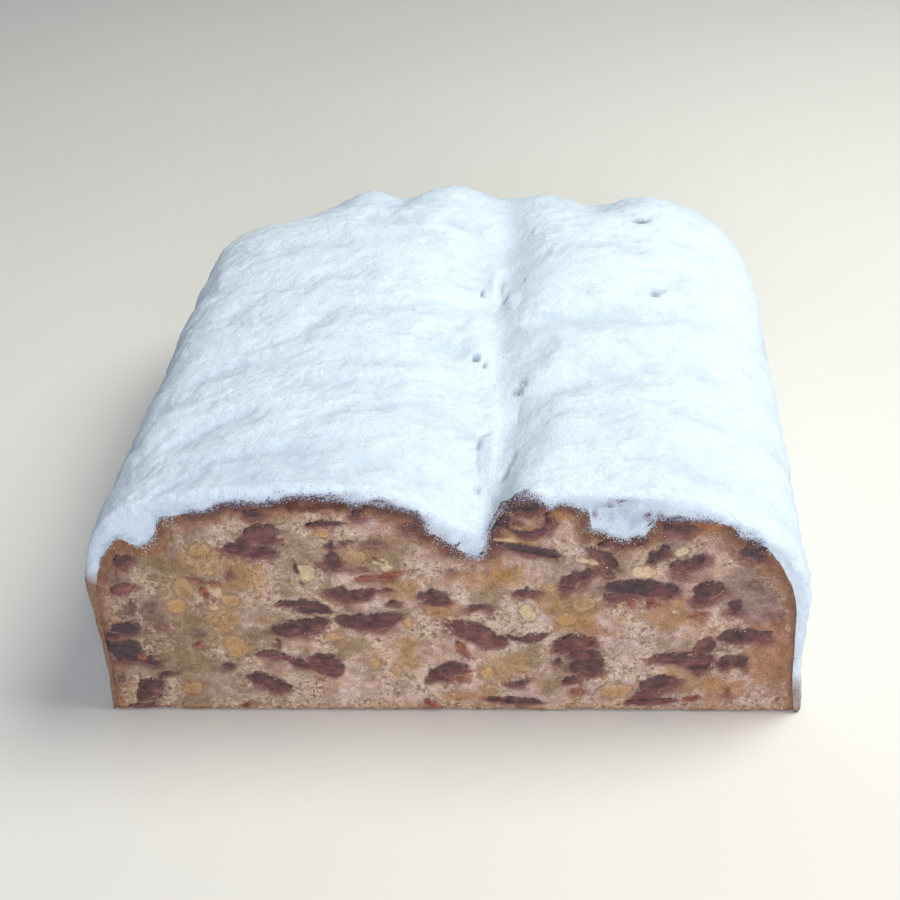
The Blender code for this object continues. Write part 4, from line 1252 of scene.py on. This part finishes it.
def snow_relief(points, top_share):
    """Rise of the sugar over its plain form, in millimetres, with its painted shade and the painted shade
    in its pits.
    """
    x, y = points[:, 0], points[:, 1]
    wide = np.stack([noise(points, 9, 216), noise(points, 9, 217), 0 * x], axis=-1) * 2.2
    drifts = layered(points + wide, (13, 8, 9), 211, 4, 0.62)
    heaps = layered(points + 0.5 * wide, (4.2, 3.0, 3.5), 221, 3, 0.7)
    fluff = layered(points, 1.5, 231, 2, 0.8)
    calm = 1 - 0.65 * bell(x - furrow_line(y) - 5.0, 4.0)
    rise = (0.36 * drifts + 0.19 * heaps + 0.11 * fluff) * calm - 0.12
    shade = 0.30 * ramp(-drifts, -0.1, 0.9) + 0.22 * ramp(-heaps, 0.0, 0.9)
    shade = shade + 0.6 * (ramp(-x, 58, 72) * (0.7 + 0.7 * noise(points, 8, 218)))
    shade = shade + 0.62 * bell(x + 36, 22) * bell(y - 3, 14) + 0.5 * ramp(y, 126, 150)
    pit_shade = np.zeros(len(points))
    bends, ripples = 1.3 * noise(points, 4, 241), 0.6 * noise(points, 1.6, 242)
    for way, depth, width in VALLEYS:
        far, share = way_distance(points, way)
        cut = bell(far + bends + ripples, VALLEY_SPREAD * width) * ramp(share, 0, 0.2) * fall(share, 0.8, 1)
        rise = rise - depth * cut * top_share * calm
        shade = shade + 0.34 * cut * top_share * calm
    for at_x, at_y, width, length, height in KNOLLS:
        knoll = height * bell((x - at_x) / width, 1) * bell((y - at_y) / length, 1)
        rise = rise + knoll * top_share
    wobble = 0.35 * noise(points, 1.9, 251) + 0.2 * noise(points, 1.1, 252)
    for at_x, at_y, width, length, turn, depth, pit_darkness in PITS:
        cosine, sine = math.cos(math.radians(turn)), math.sin(math.radians(turn))
        u = (x - at_x) * cosine - (y - at_y) * sine
        v = (x - at_x) * sine + (y - at_y) * cosine
        reach = np.hypot(u / width, v / length) * (1 + wobble)
        rise = rise - depth * fall(reach, 0.35, 1.35) * top_share
        # Painted shade in each pit, darkest at its middle.
        pit_shade = np.maximum(pit_shade, pit_darkness * fall(reach, 0.1, 1.3) * top_share)
        shade = shade + (0.1 + 0.6 * pit_darkness) * fall(reach, 0.3, 2.2) * top_share
    return rise, np.clip(shade, 0, 1), pit_shade


def lip_rows(a, c):
    """The sugar's rows from the crust line over its rounded front edge, for the columns a and c."""
    outer = loaf(a, 0, c, COAT)
    crust = crust_line(ring_place(a, c))
    away = outer - crust
    away[:, 1] = 0
    thick = np.linalg.norm(away, axis=-1)
    away = away / thick[:, None]
    deep = np.maximum(thick - 3.0, 0) * (1 - bell(outer[:, 0] - HOLLOWS["burst"]["at"][0], 9))
    round_over = np.minimum(0.75 * thick, 2.3 + 0.7 * deep)
    start = outer - away * round_over[:, None]
    rows = []
    for k in range(LIP_FLAT_ROWS):
        row = crust + (start - crust) * (k / LIP_FLAT_ROWS)
        row[:, 1] = LIP_REST
        rows.append(row)
    for k in range(LIP_ARC_ROWS):
        turn = math.radians(90 * (1 - k / LIP_ARC_ROWS))
        row = outer - away * (round_over * (1 - math.cos(turn)))[:, None]
        row[:, 1] = LIP_REST + (LIP_ROUND - LIP_REST) * (1 - math.sin(turn))
        rows.append(row)
    return np.concatenate(rows)


def row_steps():
    """Box numbers along the loaf, closer together near the cut."""
    fine = np.linspace(0, 1, 2001)
    y = loaf(0, fine, 1, COAT)[:, 1]
    step = 0.55 + 0.40 * ramp(y, 20, 110)
    run = np.concatenate([[0], np.cumsum(np.diff(y) / step[1:])])
    first = np.interp(LIP_ROUND, y, run)
    return np.interp(np.linspace(first, run[-1], round(run[-1] - first)), run, fine)


def make_coat(material):
    side = even_places(lambda c: loaf(-1, 0, c, COAT), COAT_STEP_UP)
    top = even_places(lambda t: loaf(2 * t - 1, 0, 1, COAT), COAT_STEP_ACROSS) * 2 - 1
    lip_count = LIP_FLAT_ROWS + LIP_ARC_ROWS
    numbers, faces, border = box_shell(top, side, np.concatenate([np.zeros(lip_count), row_steps()]), False)
    columns = len(top) + 2 * (len(side) - 1)
    lip = slice(lip_count * columns)
    points = loaf(*numbers, COAT)
    points[lip] = lip_rows(numbers[0][:columns], numbers[2][:columns])
    inner_numbers, inner_faces, inner_border = even_shell(INNER_GRID, INNER_FROM, False)
    inner = loaf(*inner_numbers, BREAD)
    inner = inner + outward_from_middle(inner) * INNER_LIFT
    hollow_out(inner, 0.4)
    inner[:, 2] = np.clip(inner[:, 2], 0.4, CAD_BOX[1][2] / MM - INNER_LIFT)
    start = len(points)
    quads = [*map(tuple, faces), *map(tuple, inner_faces + start)]
    quads += zip_loops(border, [(point + start, place) for point, place in inner_border], 6)
    piece = mesh_object("sugar_snow", np.concatenate([points, inner]), quads, material)
    face_outwards(piece)
    normals = np.zeros(len(piece.data.vertices) * 3, np.float32)
    piece.data.vertex_normals.foreach_get("vector", normals)
    normals = normals.reshape(-1, 3)[:start].astype(float)
    top_share = ramp(normals[:, 2], 0.25, 0.75)
    rise, shade, pit_shade = snow_relief(points, top_share)
    order = np.repeat(np.arange(lip_count), columns)
    from_cut, grainy, soil = np.ones(start), np.zeros(start), np.zeros(start)
    from_cut[lip] = np.where(order == 0, 0.0, 0.35 + 0.65 * order / lip_count)
    grainy[lip] = layered(points[lip], 0.9, 261, 2) * 0.12
    proud = 1 - PROUD_SHARE * ramp(points[:, 2], 52, 56)
    low = ramp(points[:, 2], 0.6, 6)
    rise = np.where(rise > 0, rise * proud, rise) * low * from_cut + grainy * from_cut
    moved = points + normals * rise[:, None]
    recess = lip_lumps(points[lip], order)
    moved[lip, 1] += recess
    shade[lip] = np.clip(shade[lip] * 0.6 + 0.85 * ramp(recess, 0.45, 1.15), 0, 1)
    moved[:, 1] = np.maximum(moved[:, 1], 0.03)
    box_low, box_high = (np.array(corner) / MM - SHIFT for corner in CAD_BOX)
    moved = np.clip(moved, box_low + BOX_MARGIN, box_high - BOX_MARGIN)
    piece.data.vertices.foreach_set("co", placed(np.concatenate([moved, inner])).ravel())
    soil[lip] = lip_soil(moved[lip])
    crusty = np.maximum(lip_crust(moved), foot_crust(moved) * (1 - top_share))
    for key, values in (("shade", shade), ("pit_shade", pit_shade), ("soil", soil), ("crusty", crusty)):
        write_attribute(piece, key, np.concatenate([values, np.zeros(len(inner))]))
    piece.data.update()
    return piece


def lip_soil(points):
    """How strewn with dark crumbs the sugar's cut edge is."""
    far = distance_to_crust(points)
    soil = 0.75 * bell(far, 0.9) + 0.5 * bell(far, 2.0) * (0.6 + 0.6 * noise(points, 6, 271))
    soil = soil * edge_darkness(points)
    for *place, strength in SMEARS:
        soil = np.maximum(soil, strength * bell(oval(points, *place), 1.0))
    return soil * ramp(4.0 - points[:, 1], 0.5, 2.5)


def lip_crust(points):
    """How far the crust shows through the thin sugar at the foot of the cut."""
    x, y, z = points.T
    at_cut = fall(y + 0.5 * noise(points, 1.5, 275), 0.8, 3.2)
    left = ramp(-x, 60, 66) * fall(z + 2 * noise(points, 3, 276), 33, 41)
    right = ramp(x, 60, 66) * fall(z + 2 * noise(points, 3, 277), 3, 12)
    return at_cut * np.maximum(left, 0.8 * right)


def foot_crust(points):
    """How far the crust shows through the thin sugar along the foot of the sides."""
    height = points[:, 2] + 5.0 * noise(points, 9, 291) + 2.0 * noise(points, 2.6, 292)
    return 0.6 * fall(height, 1.0, 13.0) * ramp(points[:, 1], 2, 8)


def lip_lumps(points, order):
    """How far in from the cut the sugar's face lies: powdery everywhere, heaped in the burst pocket."""
    burst = HOLLOWS["burst"]["at"]
    x, z = points[:, 0], points[:, 2]
    pocket = bell((x - burst[0]) / 7.5, 1) * bell((z - burst[2]) / 6.5, 1)
    tip = bell((x - 6.0) / 7.0, 1) * bell((z - 45.0) / 7.0, 1)
    heaps = 0.45 - 0.8 * noise(points, 2.4, 281) + 0.5 * noise(points, 1.3, 282)
    powder = 0.22 + 0.24 * noise(points, 1.6, 283) + 0.14 * noise(points, 0.8, 284)
    fade = (0.45 + 0.55 * ramp(order, 0, 3)) * fall(order, LIP_FLAT_ROWS - 1, LIP_FLAT_ROWS + 4)
    return np.maximum(powder + (1.1 * pocket + 0.8 * tip) * heaps, 0.0) * fade


def along_crust(count, low, high, reach, draw):
    """Points by the crust's top edge: reach gives how far out from it, in millimetres."""
    place = draw.uniform(low, high, count)
    line = crust_line(place)
    nearby = crust_line(place + 0.004) - crust_line(place - 0.004)
    out = np.stack([-nearby[:, 2], np.zeros(count), nearby[:, 0]], axis=-1)
    out = out / np.maximum(np.linalg.norm(out, axis=-1, keepdims=True), 1e-9)
    return line + out * reach[:, None]


SPECKS, POCKET_SPECKS, GRAINS, SPILT = 1900, 26, 1200, 260  # how many are drawn
SPECK_STRETCH, GRAIN_STRETCH = (0.93, 2.07), (0.86, 2.14)  # along the crust line
SPECK_SIZES, GRAIN_SIZES = (0.12, 0.28), (0.12, 0.30)
SPECK_REST, GRAIN_REST = 0.08, 0.18  # their distances behind the knife's plane


def make_specks(material, draw):
    reach = np.minimum(draw.exponential(0.65, SPECKS) - 0.35, 2.3)
    places = along_crust(SPECKS, *SPECK_STRETCH, reach, draw)
    kept = draw.uniform(0, 1, SPECKS) < edge_darkness(places)
    places, reach = places[kept], reach[kept]
    over = np.clip((reach - 0.7) / 2.3, 0, 0.95)
    places[:, 1] = SPECK_REST + LIP_ROUND * (1 - np.sqrt(1 - over**2))
    pocket = np.full((POCKET_SPECKS, 3), 0.4)
    pocket[:, 0] = draw.normal(HOLLOWS["burst"]["at"][0] - 1, 3.4, POCKET_SPECKS)
    pocket[:, 2] = draw.normal(53.4, 1.4, POCKET_SPECKS)
    places = np.concatenate([places, pocket])
    sizes = draw.uniform(*SPECK_SIZES, len(places))
    sizes = sizes * (1 + 0.8 * (draw.uniform(0, 1, len(places)) > 0.93))
    return lumps("crust_specks", places, sizes, material, draw)


# Where grains lie on the crumb, as stretches of the crust line.
SPILLS = [(1.50, 1.60), (1.69, 1.80), (1.03, 1.13)]


def make_grains(material, draw):
    reach = draw.normal(0.25, 0.4, GRAINS)
    places = along_crust(GRAINS, *GRAIN_STRETCH, reach, draw)
    for low, high in SPILLS:
        fallen = along_crust(SPILT, low, high, 0.2 - draw.exponential(0.75, SPILT), draw)
        places = np.concatenate([places, fallen])
    places[:, 1] = GRAIN_REST
    return lumps("sugar_grains", places, draw.uniform(*GRAIN_SIZES, len(places)), material, draw)


# ---- stage, light and camera ----


FLOOR_HALF, FLOOR_Z = 3.0, -0.0003  # metres


def make_floor():
    corners = [(x * FLOOR_HALF, y * FLOOR_HALF, FLOOR_Z) for x, y in ((-1, -1), (1, -1), (1, 1), (-1, 1))]
    mesh = bpy.data.meshes.new("floor")
    mesh.from_pydata(corners, [], [(0, 1, 2, 3)])
    mesh.materials.append(floor_material())
    floor = bpy.data.objects.new("floor", mesh)
    bpy.context.scene.collection.objects.link(floor)


def area_light(name, at, size, power, colour):
    data = bpy.data.lights.new(name, "AREA")
    data.shape = "DISK"
    data.size = size
    data.energy = power
    data.color = colour
    light = bpy.data.objects.new(name, data)
    light.location = at
    light.rotation_euler = (Vector(LIGHT_TARGET) - Vector(at)).to_track_quat("-Z", "Y").to_euler()
    bpy.context.scene.collection.objects.link(light)


KEY = {"at": (0.30, 0.02, 0.55), "size": 0.4, "power": 4.2, "colour": (1.0, 0.985, 0.89)}
FILL = {"at": (0.12, -1.08, 0.42), "size": 0.6, "power": 7.6, "colour": (0.99, 0.95, 1.0)}


LIGHT_TARGET = (0, 0, 0.03)
SKY_COLOUR, SKY_STRENGTH = (0.90, 0.95, 1.0, 1), 0.345


def make_lights():
    world = bpy.data.worlds.new("studio")
    world.use_nodes = True
    background = world.node_tree.nodes["Background"]
    background.inputs["Color"].default_value = SKY_COLOUR
    background.inputs["Strength"].default_value = SKY_STRENGTH
    bpy.context.scene.world = world
    for name, light in (("key", KEY), ("fill", FILL)):
        area_light(name, **light)


CAMERA_AT = (24.2108, -233.3366, 223.7493)
CAMERA_RIGHT = (0.9972369297, 0.0562984127, -0.0484664292)
CAMERA_UP = (0.0088255468, 0.5580166203, 0.8297828398)
CAMERA_FORWARD = (-0.0737605298, 0.8279178342, -0.5559779168)


CAMERA_LENS, CAMERA_SENSOR, CAMERA_NEAR = 60, 36, 0.01


def make_camera():
    data = bpy.data.cameras.new("camera")
    data.lens = CAMERA_LENS
    data.sensor_width = CAMERA_SENSOR
    data.clip_start = CAMERA_NEAR
    camera = bpy.data.objects.new("camera", data)
    turn = Matrix((CAMERA_RIGHT, CAMERA_UP, [-value for value in CAMERA_FORWARD])).transposed()
    camera.matrix_world = Matrix.Translation(Vector(placed(np.array(CAMERA_AT)))) @ turn.to_4x4()
    bpy.context.scene.collection.objects.link(camera)
    bpy.context.scene.camera = camera


def dress(piece, nodes=()):
    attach(piece, "root")
    if nodes:
        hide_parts(*nodes)


def nodes_of(kind):
    return [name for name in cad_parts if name.startswith(kind)]


draw = np.random.default_rng(7)
sugar = sugar_material()
dress(make_bread(crumb_material()), ["bread"])
dress(make_coat(sugar), ["sugar_coat"])
dress(make_fruit("raisins", ALL_RAISINS, RAISIN_SPREAD, raisin_material()), nodes_of("raisin"))
dress(make_fruit("candied_peel", ALL_PEELS, PEEL_SPREAD, peel_material()), nodes_of("peel"))
dress(make_fruit("almonds_and_glints", ALL_ALMONDS_AND_GLINTS, PEEL_SPREAD, almond_material()), nodes_of("almond"))
dress(make_specks(speck_material(), draw))
dress(make_grains(sugar, draw))
make_floor()
make_lights()
make_camera()
bpy.context.scene.view_settings.view_transform = "Standard"
